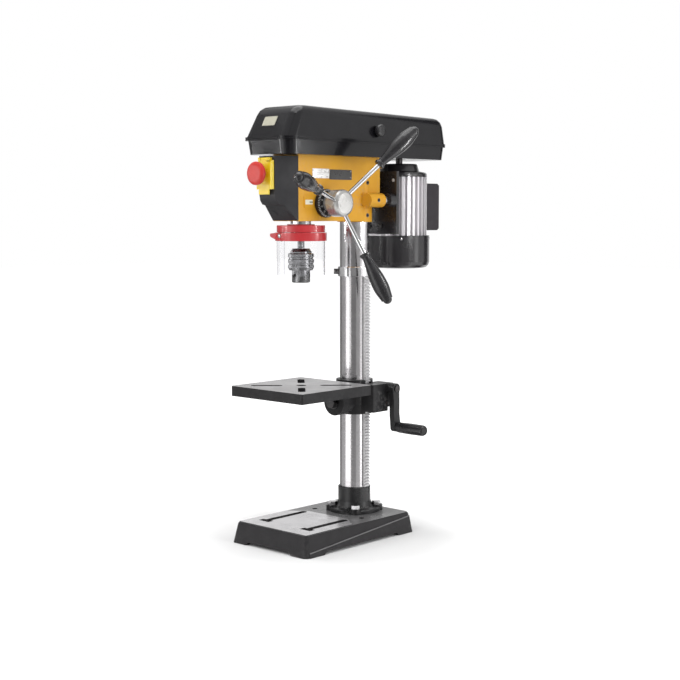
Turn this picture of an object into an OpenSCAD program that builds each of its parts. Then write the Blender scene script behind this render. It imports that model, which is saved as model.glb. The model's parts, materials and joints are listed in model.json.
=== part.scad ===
// Benchtop drill press: round column, rack-and-crank table, belt drive and a three-spoke quill feed.
// Millimetres. Modelled about the column axis at bench level: +X operator's right, +Y back, +Z up.

/* [Base and column] */
// Outside diameter of the column tube
col_d = 60; // [58:0.5:62]
// Wall of the column tube
col_wall = 4; // [3:0.5:6]
// Width of the base at its top
base_w = 192; // [186:1:200]
// Column axis to the front edge of the base top
base_front = 241; // [235:1:250]
// Column axis to the rear edge of the base top
base_rear = 62; // [59:1:66]
// Height of the base behind the ground work area
base_h = 41; // [38:1:44]
// How far the base sides run out towards the bench
base_flare = 8; // [5:0.5:10]
// Distance between the two bench bolt holes
bench_gap = 130; // [126:1:136]
// Diameter of each bench bolt hole
bench_hole_d = 11; // [9:0.5:12]
// Distance between the two base slots
slot_gap = 114; // [110:1:120]

/* [Table] */
// Column axis to spindle axis
throat = 155; // [154:1:160]
// Height of the table top above the bench at rest
table_top = 313; // [305:1:320]
// Side of the square table
table_w = 195; // [185:1:200]
// Height of the table edge
table_t = 20; // [18:0.5:22]
// Hole in the table under the spindle
table_hole_d = 19; // [15:0.5:22]
// Width of the diagonal table slots
table_slot_w = 14; // [10:0.5:16]
// Crank axis to crank grip axis
crank_r = 78; // [70:1:82]

/* [Head] */
// Half of the head casting's width
head_half = 34; // [33:0.5:36]
// Height of the head's underside above the bench
head_bottom = 634; // [630:1:640]
// Diameter of the quill
quill_d = 40; // [39:0.5:41]
// Largest diameter of the chuck sleeve
chuck_d = 51; // [48:0.5:54]
// Spoke axis to the far end of each grip
spoke_reach = 201; // [185:1:203]
// Diameter of the spokes
spoke_d = 9; // [8:0.5:10]

/* [Guard] */
// Radius of the clear shield around the spindle
shield_r = 47; // [45:0.5:50]
// Height of the clear shield below the red band
shield_h = 66; // [55:1:70]

/* [Belt cover] */
// Half of the cover's width at its lip
cover_half = 65; // [63:0.5:68]
// Height of the lid above the pan
lid_h = 60; // [57:1:66]

/* [Motor] */
// Column axis to motor axis
motor_y = 138; // [136:1:142]
// Radius of the finned motor body
motor_r = 58; // [56:0.5:60]

/* [Fits] */
// Radial clearance of shafts and sliding fits
fit = 0.05; // [0.03:0.01:0.08]
// Clearance between neighbouring pieces that move past each other
gap = 0.4; // [0.3:0.1:0.6]

/* [Hidden] */
$fn = 64;
col_r = col_d / 2;
pad_h = 1;
pad_side = -108;
pad_rear = -78;
pad_half = 54;
ridge = 1.2;
spindle_y = -throat;
column_top = head_bottom + 110;
flange_h = 52;
flange_top = base_h + flange_h;
flange_r = 53;
flange_screw_z = base_h + 32;
bolt_ring_r = 45;
bolt_angles = [45:90:315];
bolt_r = 5;
lug_r = 13;
lug_h = 11.2;
spot_h = 10;
washer_h = 1.8;
bench_y = -50;
slot_front = -205;
slot_rear = -92;
base_slot_w = 14;
base_slot_head = 28;
set_screw_r = 4;

// Rack, pinion and worm of the table lift
lift_m = 2;
lift_teeth = 12;
lift_pitch_r = lift_m * lift_teeth / 2;
lift_pitch = PI * lift_m;
rack_back = col_r + 0.3;
rack_pitch_x = col_r + 6;
rack_tip_x = rack_pitch_x + 1.3;
rack_root_x = rack_pitch_x - 2.6;
rack_half = 7;
pinion_x = rack_pitch_x + lift_pitch_r;
pinion_z = table_top - 37;
worm_r = 8;
worm_y = 31.5;
worm_z = pinion_z + lift_pitch_r + worm_r;
worm_section = [[-1.61, 5.9], [-0.34, 9.4], [0.34, 9.4], [1.61, 5.9]];
worm_steps = 18;
worm_turns = 3;
ring_bottom = head_bottom - 112;
ring_h = 20;
ring_r = col_r + 4;
ring_screw_z = ring_bottom + ring_h / 2;

// Table bracket and tilt joint
sleeve_r = col_r + 7.5;
sleeve_bottom = table_top - 69;
tilt_z = table_top - 43;
tilt_y = -45;
tilt_r = 27;
tilt_lug = 17;
tilt_bolt_r = 8;
box_x = 66;
crank_x = box_x + 5;
arm_t = 12;
arm_end = 7;
clamp_y = 48;
clamp_z = table_top - 36;

// Head heights
head_front = spindle_y - 41;
head_rear = 38;
head_top = head_bottom + 126;
step_z = head_bottom + 56;
boss_x = head_half + 12;
boss_z = head_bottom + 41;
boss_y0 = -16;
boss_y1 = 28;
boss_screw_y = 6;
rod_r = 8;
boss_r = rod_r + 6;
head_screw_z = [head_bottom + 76, head_bottom + 11];
pinion_offset = 30;
feed_y = spindle_y + pinion_offset;
feed_z = head_bottom + 34.5;
feed_m = 1.5;
feed_teeth = 16;
feed_pitch = PI * feed_m;
quill_r = quill_d / 2;
quill_bottom = head_bottom - 36;
quill_top = head_bottom + 106;
quill_rack_y = pinion_offset - feed_m * feed_teeth / 2;
bearing_r = 17.5;
sleeve_shaft_r = 10;
spline_r = 6;
spline_len = 90;
cup_r = 30;

// Feed hub
dial_x = head_half + 0.5;
dial_w = 11.5;
dial_r = 27.5;
neck_r = 16;
hub_x0 = head_half + 26;
hub_x1 = head_half + 56;
hub_r = 26;
spoke_x = head_half + 39;
spoke_tilt = 21.6;
spoke_angles = [46.5, 166.5, 286.5];
grip_start = 100;
grip_end_r = 9;

// Chuck
chuck_top = quill_bottom - 17;
chuck_bottom = chuck_top - 66;
nose_r = chuck_d / 2 - 7.75;
sleeve_z0 = chuck_top - 42;
sleeve_z1 = chuck_top - 9;
jaw_tilt = 14;
jaw_r = 3.2;
jaw_stroke = 28;
jaw_grip_z = chuck_bottom - 10;
jaw_grip_u = 2.4;
jaw_bottom = chuck_bottom - 20;
jaw_len = 32;

// Guard
guard_top = quill_bottom + 30;
band_z0 = quill_bottom - 2;
band_z1 = quill_bottom + 14;
lug_x = -(shield_r + 8);

// Cover
pan_h = 29;
lip_z = head_top + pan_h;
lid_top = lip_z + lid_h;
cover_front = -255;
cover_rear = 227;
lid_fall = 0.9;
lid_slope = 28;
cover_wall = 3;
crease_w = 2.4;
hinge_x = -(cover_half + 4);
hinge_z = lip_z + 1;
hinge_places = [-120, 110];

// Motor and belt
motor_z0 = head_bottom - 31;
motor_z1 = head_bottom + 90;
bell_z0 = head_bottom - 99;
bell_r = motor_r + 6;
plate_y0 = 62;
plate_t = 8;
rod_end = plate_y0 + plate_t - 2;
shaft_r = 7;
cap_depth = 52;
pulley_z = head_top + 15;
groove_h = 12;
step_r = [43, 37, 31, 25, 19];
belt_step = 2;
belt_r = step_r[belt_step];

// Switch
housing_depth = 50;
housing_half = 21;
switch_half = 19;
switch_body = 15;
body_half = 22;
plate_half = 27;
switch_t = 4.5;
switch_y = head_front - housing_depth;
switch_z = head_bottom + 87.5;
flap_y = switch_y - switch_t - 0.3;
flap_t = 4.5;
stop_r = 6.5;
stop_z = switch_z + 2;
start_r = 5;
start_z = switch_z - 15;
flap_hinge_y = switch_y - 6.5;
flap_hinge_z = switch_z + 29.5;
flap_pin_r = 1.3;
barrel_r = 2.6;
knuckle_x = 8;

// The whole model is centred over the bench from its widest reaches
reach_right = 160;
reach_left = base_w / 2 + base_flare + ridge;
spoke_end = spoke_reach - grip_end_r;
reach_front = -feed_y - spoke_end * cos(spoke_angles[1]) + grip_end_r;
reach_back = motor_y + motor_r + cap_depth;
module place() {
    translate([(reach_left - reach_right) / 2, (reach_front - reach_back) / 2, 0]) children();
}

// Helpers

// Round bar along X
module rod_x(r, x0, x1) {
    translate([x0, 0, 0]) rotate([0, 90, 0]) cylinder(r = r, h = x1 - x0);
}

// Round bar along Y
module rod_y(r, y0, y1) {
    translate([0, y0, 0]) rotate([-90, 0, 0]) cylinder(r = r, h = y1 - y0);
}

// Box from its low corner to its high corner
module block(lo, hi) {
    translate(lo) cube(hi - lo);
}

// Tube with a flat top and bottom
module tube(r_out, r_in, h) {
    rotate_extrude() translate([r_in, 0]) square([r_out - r_in, h]);
}

// Hexagon head across flats
module hex_head(flats, h) {
    cylinder(d = flats / cos(30), h = h, $fn = 6);
}

// Plan outline with round corners, from its four edges
module plan(x0, x1, y0, y1, r) {
    translate([x0 + r, y0]) square([x1 - x0 - 2 * r, y1 - y0]);
    translate([x0, y0 + r]) square([x1 - x0, y1 - y0 - 2 * r]);
    for (x = [x0 + r, x1 - r], y = [y0 + r, y1 - r]) translate([x, y]) circle(r);
}

// Round-cornered slice used by the lofted shells
module slice(x_half, y0, y1, r, z) {
    translate([0, 0, z]) linear_extrude(0.01) plan(-x_half, x_half, y0, y1, r, $fn = 32);
}

// Involute gear outline with a tooth centred on +X
function roll(a) = tan(a) - a * PI / 180;
function tooth_half(r, rp, rb, teeth, slack) =
    (PI / 2 / teeth - slack / 2 / rp + roll(acos(rb / rp)) - roll(acos(min(1, rb / r)))) * 180 / PI;
module gear_outline(m, teeth, tip, slack) {
    rp = m * teeth / 2;
    rb = rp * cos(20);
    root = rp - 1.25 * m;
    radii = [root - 0.3, max(rb, root), (rb + rp) / 2, rp, (rp + tip) / 2, tip];
    circle(root);
    for (i = [0:teeth - 1]) rotate(i * 360 / teeth)
        polygon(concat(
            [for (r = radii) let(a = tooth_half(r, rp, rb, teeth, slack)) r * [cos(a), -sin(a)]],
            [for (k = [len(radii) - 1:-1:0]) let(r = radii[k], a = tooth_half(r, rp, rb, teeth, slack))
                r * [cos(a), sin(a)]]));
}

// One straight-sided rack tooth gap: depth below and above the pitch line, along u
module rack_gap(m, below, above, slack) {
    half = PI * m / 4 + slack / 2;
    slope = tan(20);
    polygon([[-below, -half + slope * below], [above, -half - slope * above],
             [above, half + slope * above], [-below, half - slope * below]]);
}

// Base casting
module base_outer(extra) {
    w = base_w / 2 + extra;
    r = 9;
    hull() {
        slice(w + base_flare, -base_front - base_flare - extra, base_rear + base_flare + extra, r + 3, 0);
        slice(w + 0.6, -base_front - 0.6 - extra, base_rear + 0.6 + extra, r, base_h - 3);
        slice(w - 1.5, -base_front + 1.5 - extra, base_rear - 1.5 + extra, r, base_h - 0.01);
    }
}

module arch(half, length) {
    linear_extrude(length, center = true) polygon([[-half - 6, -1], [-half, 6], [half, 6], [half + 6, -1]]);
}

module base() {
    mid_y = (base_rear - base_front) / 2;
    wall = 8;
    color("#3c3b3d") difference() {
        union() {
            base_outer(0);
            // The lower half of each side stands proud below a slanting ridge
            intersection() {
                base_outer(ridge);
                rotate([90, 0, 90]) linear_extrude(400, center = true)
                    polygon([[-base_front - 20, 0], [-base_front - 20, 7], [base_rear + 20, base_h - 6],
                             [base_rear + 20, 0]]);
                block([-150, -base_front + 2, 0], [150, base_rear - 2, base_h]);
            }
            // Ground work area
            translate([0, 0, base_h - 0.5]) linear_extrude(pad_h + 0.5) work_area();
        }
        difference() {
            hull() {
                slice(base_w / 2 - wall + 4, -base_front + wall - 4, base_rear - wall + 4, 8, -1);
                slice(base_w / 2 - wall - 2, -base_front + wall + 2, base_rear - wall - 2, 8, base_h - 11);
            }
            for (x = [-1, 1] * slot_gap / 2)
                block([x - 17, -base_front, 12], [x + 17, -70, base_h]);
            bolt_places() cylinder(r = lug_r - 2, h = base_h);
            bench_places() cylinder(d = 2 * bench_hole_d, h = base_h);
        }
        for (x = [-1, 1] * slot_gap / 2) base_slot(x);
        bench_places() translate([0, 0, -1]) cylinder(d = bench_hole_d, h = base_h + 3);
        bolt_places() translate([0, 0, 10]) cylinder(r = bolt_r + fit, h = base_h);
        translate([0, mid_y, 0]) {
            rotate([90, 0, 0]) arch(57, 600);
            rotate([90, 0, 90]) arch(104, 600);
        }
    }
}

module bolt_places() {
    for (a = bolt_angles) rotate(a) translate([bolt_ring_r, 0, 0]) children();
}

module bench_places() {
    for (x = [-1, 1] * bench_gap / 2) translate([x, bench_y, 0]) children();
}

module work_area() {
    polygon([[-base_w / 2 + 4, -base_front + 4], [base_w / 2 - 4, -base_front + 4],
             [base_w / 2 - 4, pad_side], [pad_half, pad_rear], [-pad_half, pad_rear],
             [-base_w / 2 + 4, pad_side]]);
}

module base_slot(x) {
    translate([x, 0, -1]) linear_extrude(base_h + 4) {
        translate([-base_slot_w / 2, slot_front]) square([base_slot_w, slot_rear - slot_front]);
        translate([0, slot_rear]) circle(d = base_slot_w);
        translate([-base_slot_head / 2, slot_front]) square([base_slot_head, base_slot_w]);
    }
}

// Column flange and column
module column_flange() {
    color("#2e2d30") difference() {
        union() {
            for (a = bolt_angles) rotate(a) translate([0, 0, base_h]) {
                translate([bolt_ring_r, 0, 0]) cylinder(r = lug_r, h = lug_h);
                translate([0, 2 - lug_r, 0]) cube([bolt_ring_r, 2 * lug_r - 4, lug_h]);
            }
            translate([0, 0, base_h]) rotate_extrude() polygon([[0, 0], [flange_r, 0], [flange_r, 6],
                [flange_r - 2, 8], [39, 9.4], [36.5, 13], [35, 18], [col_r + 3.5, 22],
                [col_r + 3.5, flange_h - 1.5], [col_r + 2, flange_h], [0, flange_h]]);
        }
        translate([0, 0, base_h - 1]) cylinder(r = col_r + fit, h = flange_h + 2);
        bolt_places() translate([0, 0, base_h - 1]) cylinder(r = bolt_r + 0.5, h = 12);
        bolt_places() translate([0, 0, base_h + spot_h]) cylinder(r = lug_r - 2, h = 30);
        translate([0, 0, flange_screw_z]) rod_y(set_screw_r + fit, col_r - 1, col_r + 10);
    }
}

module flange_bolts() {
    color("#c9c9cc") bolt_places() translate([0, 0, base_h]) {
        translate([0, 0, -24]) cylinder(r = bolt_r, h = 35);
        translate([0, 0, spot_h]) cylinder(r = 10, h = washer_h);
        translate([0, 0, spot_h + washer_h]) hex_head(16, 6.5);
    }
}

module column() {
    color("#c4c2c4") translate([0, 0, base_h]) tube(col_r, col_r - col_wall, column_top - base_h);
}

module rack_ring() {
    color("#d6d5d6") difference() {
        translate([0, 0, ring_bottom]) rotate_extrude() polygon([[col_r + fit, 0], [ring_r - 1, 0],
            [ring_r, 1], [ring_r, ring_h - 1], [ring_r - 1, ring_h], [col_r + fit, ring_h]]);
        translate([0, 0, ring_screw_z]) rod_x(set_screw_r + fit, -ring_r - 1, 0);
    }
}

// Socket set screw along X, tip at x = 0
module set_screw(len) {
    difference() {
        rod_x(set_screw_r, 0, len);
        translate([len - 4, 0, 0]) rotate([0, 90, 0]) hex_head(4, 5);
    }
}

module set_screws() {
    color("#3a3638") {
        translate([-col_r - fit, 0, ring_screw_z]) mirror([1, 0, 0]) set_screw(14);
        for (z = head_screw_z) translate([col_r + fit, 0, z]) set_screw(5.6);
        translate([0, col_r + fit, flange_screw_z]) rotate(90) set_screw(8);
        for (s = [-1, 1]) translate([s * (boss_x + rod_r + 0.3), boss_screw_y, boss_z])
            mirror([s < 0 ? 1 : 0, 0, 0]) set_screw(6);
    }
}

// Head casting
module head_casting() {
    color("#d69f32") difference() {
        union() {
            block([-head_half, head_front, step_z], [head_half, head_rear, head_top]);
            block([-head_half, head_front, head_bottom], [head_half, 0, step_z + 1]);
            translate([0, 0, head_bottom - 2]) cylinder(r = col_r + 5, h = 100);
            for (s = [-1, 1]) {
                translate([s * boss_x, 0, boss_z]) rod_y(boss_r, boss_y0, boss_y1);
                block([s > 0 ? head_half - 8 : -boss_x, boss_y0, boss_z + 3 - boss_r],
                      [s > 0 ? boss_x : 8 - head_half, boss_y1, boss_z + boss_r]);
            }
            translate([0, spindle_y, head_top - 1]) cylinder(r = 24, h = 12);
            translate([0, feed_y, feed_z]) rod_x(cup_r + 1, -head_half - 3, head_half);
        }
        translate([0, 0, head_bottom - 3]) cylinder(r = col_r + fit, h = column_top - head_bottom + 3);
        translate([0, spindle_y, head_bottom - 1]) cylinder(r = quill_r + fit, h = 109);
        translate([0, spindle_y, head_bottom]) cylinder(r = bearing_r + fit, h = 140);
        translate([0, feed_y, feed_z]) {
            rod_x(14 + fit, -11.5, head_half + 1);
            rod_x(8 + fit, -head_half - 4, 0);
        }
        block([-26, feed_y + 22, head_bottom + 12], [26, -col_r - 8, head_top + 1]);
        for (z = head_screw_z) translate([0, 0, z]) rod_x(set_screw_r + fit, 20, head_half + 5);
        for (s = [-1, 1]) translate([s * boss_x, 0, boss_z]) {
            rod_y(rod_r + fit, boss_y0 + 3, boss_y1 + 1);
            translate([0, boss_screw_y, 0]) rod_x(set_screw_r + fit, s > 0 ? 0 : -20, s > 0 ? 20 : 0);
        }
        pan_screw_places() cylinder(r = 2.5 + fit, h = 14, center = true);
        housing_screw_places() rod_y(2.5 + fit, -1, 12);
    }
}

module pan_screw_places() {
    for (x = [-26, 26], y = [head_front + 10, head_rear - 6]) translate([x, y, head_top]) children();
}

module housing_screw_places() {
    for (x = [-16, 16]) translate([x, head_front, head_bottom + 14]) children();
}

// Black housing in front of the head that carries the switch and narrows towards it
function housing_width(d) = head_half - (head_half - housing_half) * d / housing_depth;

module housing_outline(inset) {
    z0 = head_bottom + 1 + inset * 1.4;
    z1 = head_top - 3 - inset;
    front = switch_y + inset;
    polygon([[head_front, z0], [head_front, z1], [front, z1], [front, head_bottom + 50 + inset / 2],
             [front + 3, head_bottom + 39 + inset], [front + 10, head_bottom + 32 + inset],
             [front + 20, head_bottom + 30 + inset], [head_front - (inset > 0 ? 0 : 2), z0]]);
}

module housing_solid(inset) {
    corners = [[1, -1], [1, housing_depth + 1], [-1, housing_depth + 1], [-1, -1]];
    intersection() {
        rotate([90, 0, 90]) linear_extrude(2 * head_half, center = true) housing_outline(inset);
        translate([0, 0, head_bottom]) linear_extrude(head_top - head_bottom)
            polygon([for (p = corners) [p[0] * (housing_width(p[1]) - inset), head_front - p[1]]]);
    }
}

module front_housing() {
    color("#37353a") difference() {
        housing_solid(0);
        difference() {
            housing_solid(cover_wall);
            housing_screw_places() rod_y(6, -60, 0);
        }
        housing_screw_places() {
            rod_y(2.7, -60, 1);
            rod_y(5.2, -60, -5);
        }
        block([-switch_body - 0.5, switch_y - 1, switch_z - body_half - 0.5],
              [switch_body + 0.5, switch_y + 12, switch_z + body_half + 0.5]);
        translate([0, head_front - 20, head_top - 3]) cylinder(r = 6 + fit, h = 20, center = true);
    }
}

module cover_screws() {
    color("#55535a") {
        pan_screw_places() {
            translate([0, 0, -6]) cylinder(r = 2.5, h = 9);
            translate([0, 0, cover_wall]) cylinder(r = 5, h = 3.4);
        }
        housing_screw_places() {
            rod_y(2.5, -5, 10);
            rod_y(4.8, -8.4, -5);
        }
    }
}

module cable_gland() {
    color("#2b2a2c") translate([0, head_front - 20, head_top - 11]) difference() {
        union() {
            cylinder(r = 6, h = 8);
            cylinder(r = 9, h = 4.5);
        }
        translate([0, 0, -1]) cylinder(r = 3.6, h = 10);
    }
}

// Switch: box, hinged flap with the stop mushroom on it, start button below the flap
module switch_box() {
    color("#f2d21c") difference() {
        union() {
            block([-switch_half, switch_y - switch_t, switch_z - plate_half],
                  [switch_half, switch_y, switch_z + plate_half]);
            block([-switch_body, switch_y - 1, switch_z - body_half],
                  [switch_body, switch_y + 16, switch_z + body_half]);
            for (s = [0, 1]) mirror([s, 0, 0]) {
                block([knuckle_x + gap, switch_y - 10, switch_z + plate_half - 1],
                      [knuckle_x + 6, switch_y, flap_hinge_z + barrel_r]);
                translate([0, flap_hinge_y, flap_hinge_z]) rod_x(flap_pin_r, knuckle_x - 4, knuckle_x + 1);
            }
        }
        translate([0, 0, stop_z]) rod_y(stop_r + 0.5, switch_y - 10, switch_y + 14);
        translate([0, 0, start_z]) rod_y(start_r + fit, switch_y - 10, switch_y + 12);
    }
}

module switch_flap() {
    color("#f4d41e") difference() {
        union() {
            block([0.5 - switch_half, flap_y - flap_t, switch_z - plate_half - 0.5],
                  [switch_half - 0.5, flap_y, switch_z + plate_half - 3]);
            block([-knuckle_x, flap_y - flap_t, switch_z + 23], [knuckle_x, flap_y - 1, flap_hinge_z]);
            block([-13, flap_y - flap_t, switch_z - 37], [13, flap_y - 1, switch_z - 27]);
            translate([0, flap_hinge_y, flap_hinge_z]) rod_x(barrel_r, -knuckle_x, knuckle_x);
        }
        block([-switch_body, flap_y - flap_t + 2, switch_z - 25], [switch_body, flap_y + 1, switch_z + 20]);
        translate([0, 0, stop_z]) rod_y(stop_r + fit, flap_y - 10, flap_y + 1);
        translate([0, flap_hinge_y, flap_hinge_z]) rod_x(flap_pin_r + fit, -knuckle_x - 1, knuckle_x + 1);
    }
}

module stop_button() {
    color("#df3b36") translate([0, flap_y - flap_t, stop_z]) rotate([90, 0, 0]) rotate_extrude()
        polygon(concat([[0, -9], [stop_r - 1.5, -9], [stop_r - 1.5, -2.7], [stop_r, -2.7], [stop_r, 10.5],
                [19, 13], [21.4, 15], [22, 18]],
            [for (a = [0:15:90]) [14 + 8 * cos(a), 20 + 5.5 * sin(a)]], [[0, 25.5]]));
}

module start_button() {
    color("#3a9a52") translate([0, 0, start_z]) rod_y(start_r, switch_y - 7, switch_y + 7);
}

// Belt cover: pan with the lip, lid hinged on the left
function corner_point(half, front, r, z) = [half - r * (1 - cos(45)), front + r * (1 - cos(45)), z];

// Crease along both front corners, from a low point to a high point
module corner_crease(low, high) {
    for (s = [-1, 1]) hull() for (p = [low, high])
        translate([s * p[0], p[1], p[2]]) rotate(45) cube([crease_w, crease_w, 0.1], center = true);
}

module lip(h) {
    linear_extrude(h) plan(-cover_half, cover_half, cover_front, cover_rear, 26);
}

module cover_pan() {
    in = cover_wall;
    color("#29282b") difference() {
        union() {
            hull() {
                slice(cover_half - 7, cover_front + 9, cover_rear - 6, 22, head_top);
                slice(cover_half - 4, cover_front + 5, cover_rear - 3, 24, lip_z - 3);
            }
            translate([0, 0, lip_z - 3]) lip(3);
            for (y = hinge_places) translate([hinge_x, 0, hinge_z]) {
                rod_y(4, y - 22, y - 8);
                block([0, y - 22, -4], [8, y - 8, -1]);
            }
        }
        hull() {
            slice(cover_half - 7 - in, cover_front + 9 + in, cover_rear - 6 - in, 20, head_top + in);
            slice(cover_half - 4 - in, cover_front + 5 + in, cover_rear - 3 - in, 22, lip_z + 1);
        }
        translate([0, spindle_y, head_top - 1]) cylinder(r = 24 + gap, h = 10);
        translate([0, 0, head_top - 1]) linear_extrude(10) {
            translate([0, motor_y]) circle(14);
            translate([-14, motor_y - 13]) square([28, 13]);
            translate([0, motor_y - 13]) circle(14);
        }
        pan_screw_places() cylinder(r = 2.7, h = 20, center = true);
        corner_crease(corner_point(cover_half - 7, cover_front + 9, 22, head_top),
                      corner_point(cover_half - 4, cover_front + 5, 24, lip_z - 3));
        for (y = hinge_places) translate([hinge_x, 0, hinge_z]) rod_y(2 + fit, y - 30, y + 30);
    }
}

module lid_hinge_pins() {
    color("#b9b8ba") for (y = hinge_places) translate([hinge_x, 0, hinge_z]) rod_y(2, y - 22, y + 22);
}

module lid_shell(inset, floor_z) {
    c = cover_half - inset;
    f = cover_front + inset;
    b = cover_rear - inset;
    hull() {
        slice(c - 1.5, f + 2, b - 2, 24, floor_z);
        translate([0, 0, lid_top - inset]) rotate([-lid_fall, 0, 0]) {
            slice(c - 7, f + lid_slope, b - 6, 20, -17);
            slice(c - 10, f + lid_slope + 6, b - 10, 18, -8);
            slice(c - 15, f + lid_slope + 15, b - 16, 16, -2);
            slice(c - 20, f + lid_slope + 26, b - 22, 14, -0.01);
        }
    }
}

module cover_lid() {
    z0 = lip_z + gap;
    color("#222124") difference() {
        union() {
            lid_shell(0, z0);
            translate([0, 0, z0]) lip(3.5);
            for (y = hinge_places) translate([hinge_x, 0, hinge_z]) {
                rod_y(4, y - 7.6, y + 7.6);
                block([0, y - 7.6, gap - 1 + 0.01], [8, y + 7.6, 3.8]);
            }
        }
        lid_shell(cover_wall, z0 - 1);
        corner_crease(corner_point(cover_half - 1.5, cover_front + 2, 24, z0),
                      corner_point(cover_half - 7, cover_front + lid_slope, 20,
                                   lid_top - 17 - (cover_front + lid_slope) * sin(lid_fall)));
        for (y = hinge_places) translate([hinge_x, 0, hinge_z]) rod_y(2 + fit, y - 30, y + 30);
        translate([0, 0, lip_z + 23]) rod_x(4 + fit, 30, 90);
        for (y = hinge_places) block([hinge_x - 6, y - 23, z0 - 1], [hinge_x + 5, y - 7.6, z0 + 8]);
    }
}

module lid_knob() {
    color("#2d2c2f") translate([0, 0, lip_z + 23]) {
        rod_x(4, cover_half - 14, cover_half);
        translate([cover_half - 1.6, 0, 0]) rotate([0, 90, 0]) rotate_extrude()
            polygon([[0, 0], [10, 0], [12, 2], [12, 8], [10.5, 10.5], [7, 11.5], [0, 12]]);
    }
}

// Quill feed return spring on the left side
module spring_cup() {
    color("#2b2a2d") translate([0, feed_y, feed_z]) difference() {
        rod_x(cup_r, -head_half - 26, -head_half - 3);
        rod_x(cup_r - 3, -head_half - 23, -head_half - 2);
        rod_x(9, -head_half - 27, -head_half - 20);
    }
}

function coil(turns, r0, r1, a) = let(r = r0 + (r1 - r0) * a / 360 / turns) r * [cos(a), sin(a)];

module return_spring() {
    turns = 5;
    color("#6f7078") translate([-head_half - 19, feed_y, feed_z]) rotate([0, 90, 0]) linear_extrude(12)
        polygon(concat([for (a = [0:12:turns * 360]) coil(turns, 9.5, 25.6, a)],
            [for (a = [turns * 360:-12:0]) coil(turns, 10.6, 26.7, a)]));
}

// Quill, spindle and their bearings
module ball_bearing(r_in, r_out, h) {
    mid = (r_in + r_out) / 2;
    rotate_extrude() difference() {
        translate([r_in, 0]) square([r_out - r_in, h]);
        for (z = [-1, h - 1]) translate([mid - 1.8, z]) square([3.6, 2]);
    }
}

module quill() {
    color("#bdbcbe") translate([0, spindle_y, 0]) difference() {
        translate([0, 0, quill_bottom]) cylinder(r = quill_r, h = quill_top - quill_bottom);
        translate([0, 0, quill_bottom - 1]) cylinder(r = 12, h = 200);
        translate([0, 0, quill_bottom - 1]) cylinder(r = 16 + fit, h = 12);
        translate([0, 0, quill_top - 9]) cylinder(r = 14 + fit, h = 12);
        for (k = [-2:16]) translate([0, quill_rack_y, feed_z + k * feed_pitch]) rotate([90, 0, 90])
            linear_extrude(60, center = true) rack_gap(feed_m, 1.9, 3, 0.15);
        block([-30, quill_rack_y + 1.35, feed_z - 3 * feed_pitch], [30, 30, feed_z + 17 * feed_pitch]);
    }
}

module quill_bearings() {
    color("#a9aab0") translate([0, spindle_y, 0]) {
        translate([0, 0, quill_bottom]) ball_bearing(7.5 + fit, 16, 10);
        translate([0, 0, quill_top - 9]) ball_bearing(6 + fit, 14, 8);
    }
}

module spline(r, extra) {
    circle(r - 1 + extra);
    for (a = [0, 60, 120]) rotate(a) square([2 * (r + extra), 2.6 + 2 * extra], center = true);
}

module spindle() {
    color("#8d8c90") translate([0, spindle_y, 0]) {
        rotate_extrude() polygon([[0, chuck_top - 26], [5.6, chuck_top - 26], [6.2, chuck_top],
            [6.7, chuck_top], [6.7, quill_bottom - 0.5], [7.5, quill_bottom - 0.5], [7.5, quill_top - 10],
            [6, quill_top - 10], [6, quill_top + 1], [0, quill_top + 1]]);
        translate([0, 0, quill_top]) linear_extrude(spline_len) spline(spline_r, 0);
    }
}

module sleeve_bearings() {
    color("#a9aab0") translate([0, spindle_y, 0])
        for (z = [quill_top + 3, head_top + 1]) translate([0, 0, z])
            ball_bearing(sleeve_shaft_r + fit, bearing_r, 10);
}

// Chuck
module chuck_at() {
    translate([0, spindle_y, 0]) children();
}

module jaw_bar(r, below, above) {
    translate([jaw_grip_u, 0, jaw_grip_z]) rotate([0, jaw_tilt, 0])
        translate([0, 0, (jaw_bottom - jaw_grip_z) / cos(jaw_tilt) - below])
            cylinder(r = r, h = jaw_len + below + above);
}

module jaw_open() {
    translate([jaw_stroke * sin(jaw_tilt), 0, jaw_stroke * cos(jaw_tilt)]) children();
}

module chuck_body() {
    color("#77777c") chuck_at() difference() {
        rotate_extrude() polygon([[0, chuck_bottom], [nose_r - 1.5, chuck_bottom],
            [nose_r, chuck_bottom + 1.5], [nose_r, sleeve_z1 + 0.3],
            [nose_r + 3, sleeve_z1 + 0.3], [nose_r + 3, chuck_top - 6],
            [nose_r - 1, chuck_top], [0, chuck_top]]);
        translate([0, 0, chuck_top - 27]) cylinder(r1 = 5.6 + fit, r2 = 6.2 + fit, h = 27.1);
        translate([0, 0, chuck_bottom - 1]) cylinder(r = 8, h = 32);
        for (a = [90, 210, 330]) rotate(a) jaw_bar(jaw_r + fit, 1.5, jaw_stroke + 1.5);
        for (a = [30, 150, 270]) rotate(a) translate([0, 0, chuck_bottom + 14])
            rod_x(4, nose_r - 6, nose_r + 5);
    }
}

module chuck_sleeve() {
    r = chuck_d / 2;
    teeth = 36;
    color("#86868b") chuck_at() difference() {
        rotate_extrude() polygon([[nose_r + fit, sleeve_z0], [r - 2.5, sleeve_z0], [r, sleeve_z0 + 5],
            [r, sleeve_z0 + 10], [r - 1.6, sleeve_z0 + 10.8], [r - 1.6, sleeve_z0 + 14],
            [r, sleeve_z0 + 14.8], [r, sleeve_z0 + 21], [r - 1.6, sleeve_z0 + 21.8],
            [r - 1.6, sleeve_z0 + 25], [r, sleeve_z0 + 25.8], [r, sleeve_z1 - 1.5],
            [r - 1.5, sleeve_z1], [nose_r + fit, sleeve_z1]]);
        for (i = [0:teeth - 1]) rotate(i * 360 / teeth) translate([r + 1.2, 0, sleeve_z0]) rotate(45)
            cube([3.2, 3.2, 12], center = true);
    }
}

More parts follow.
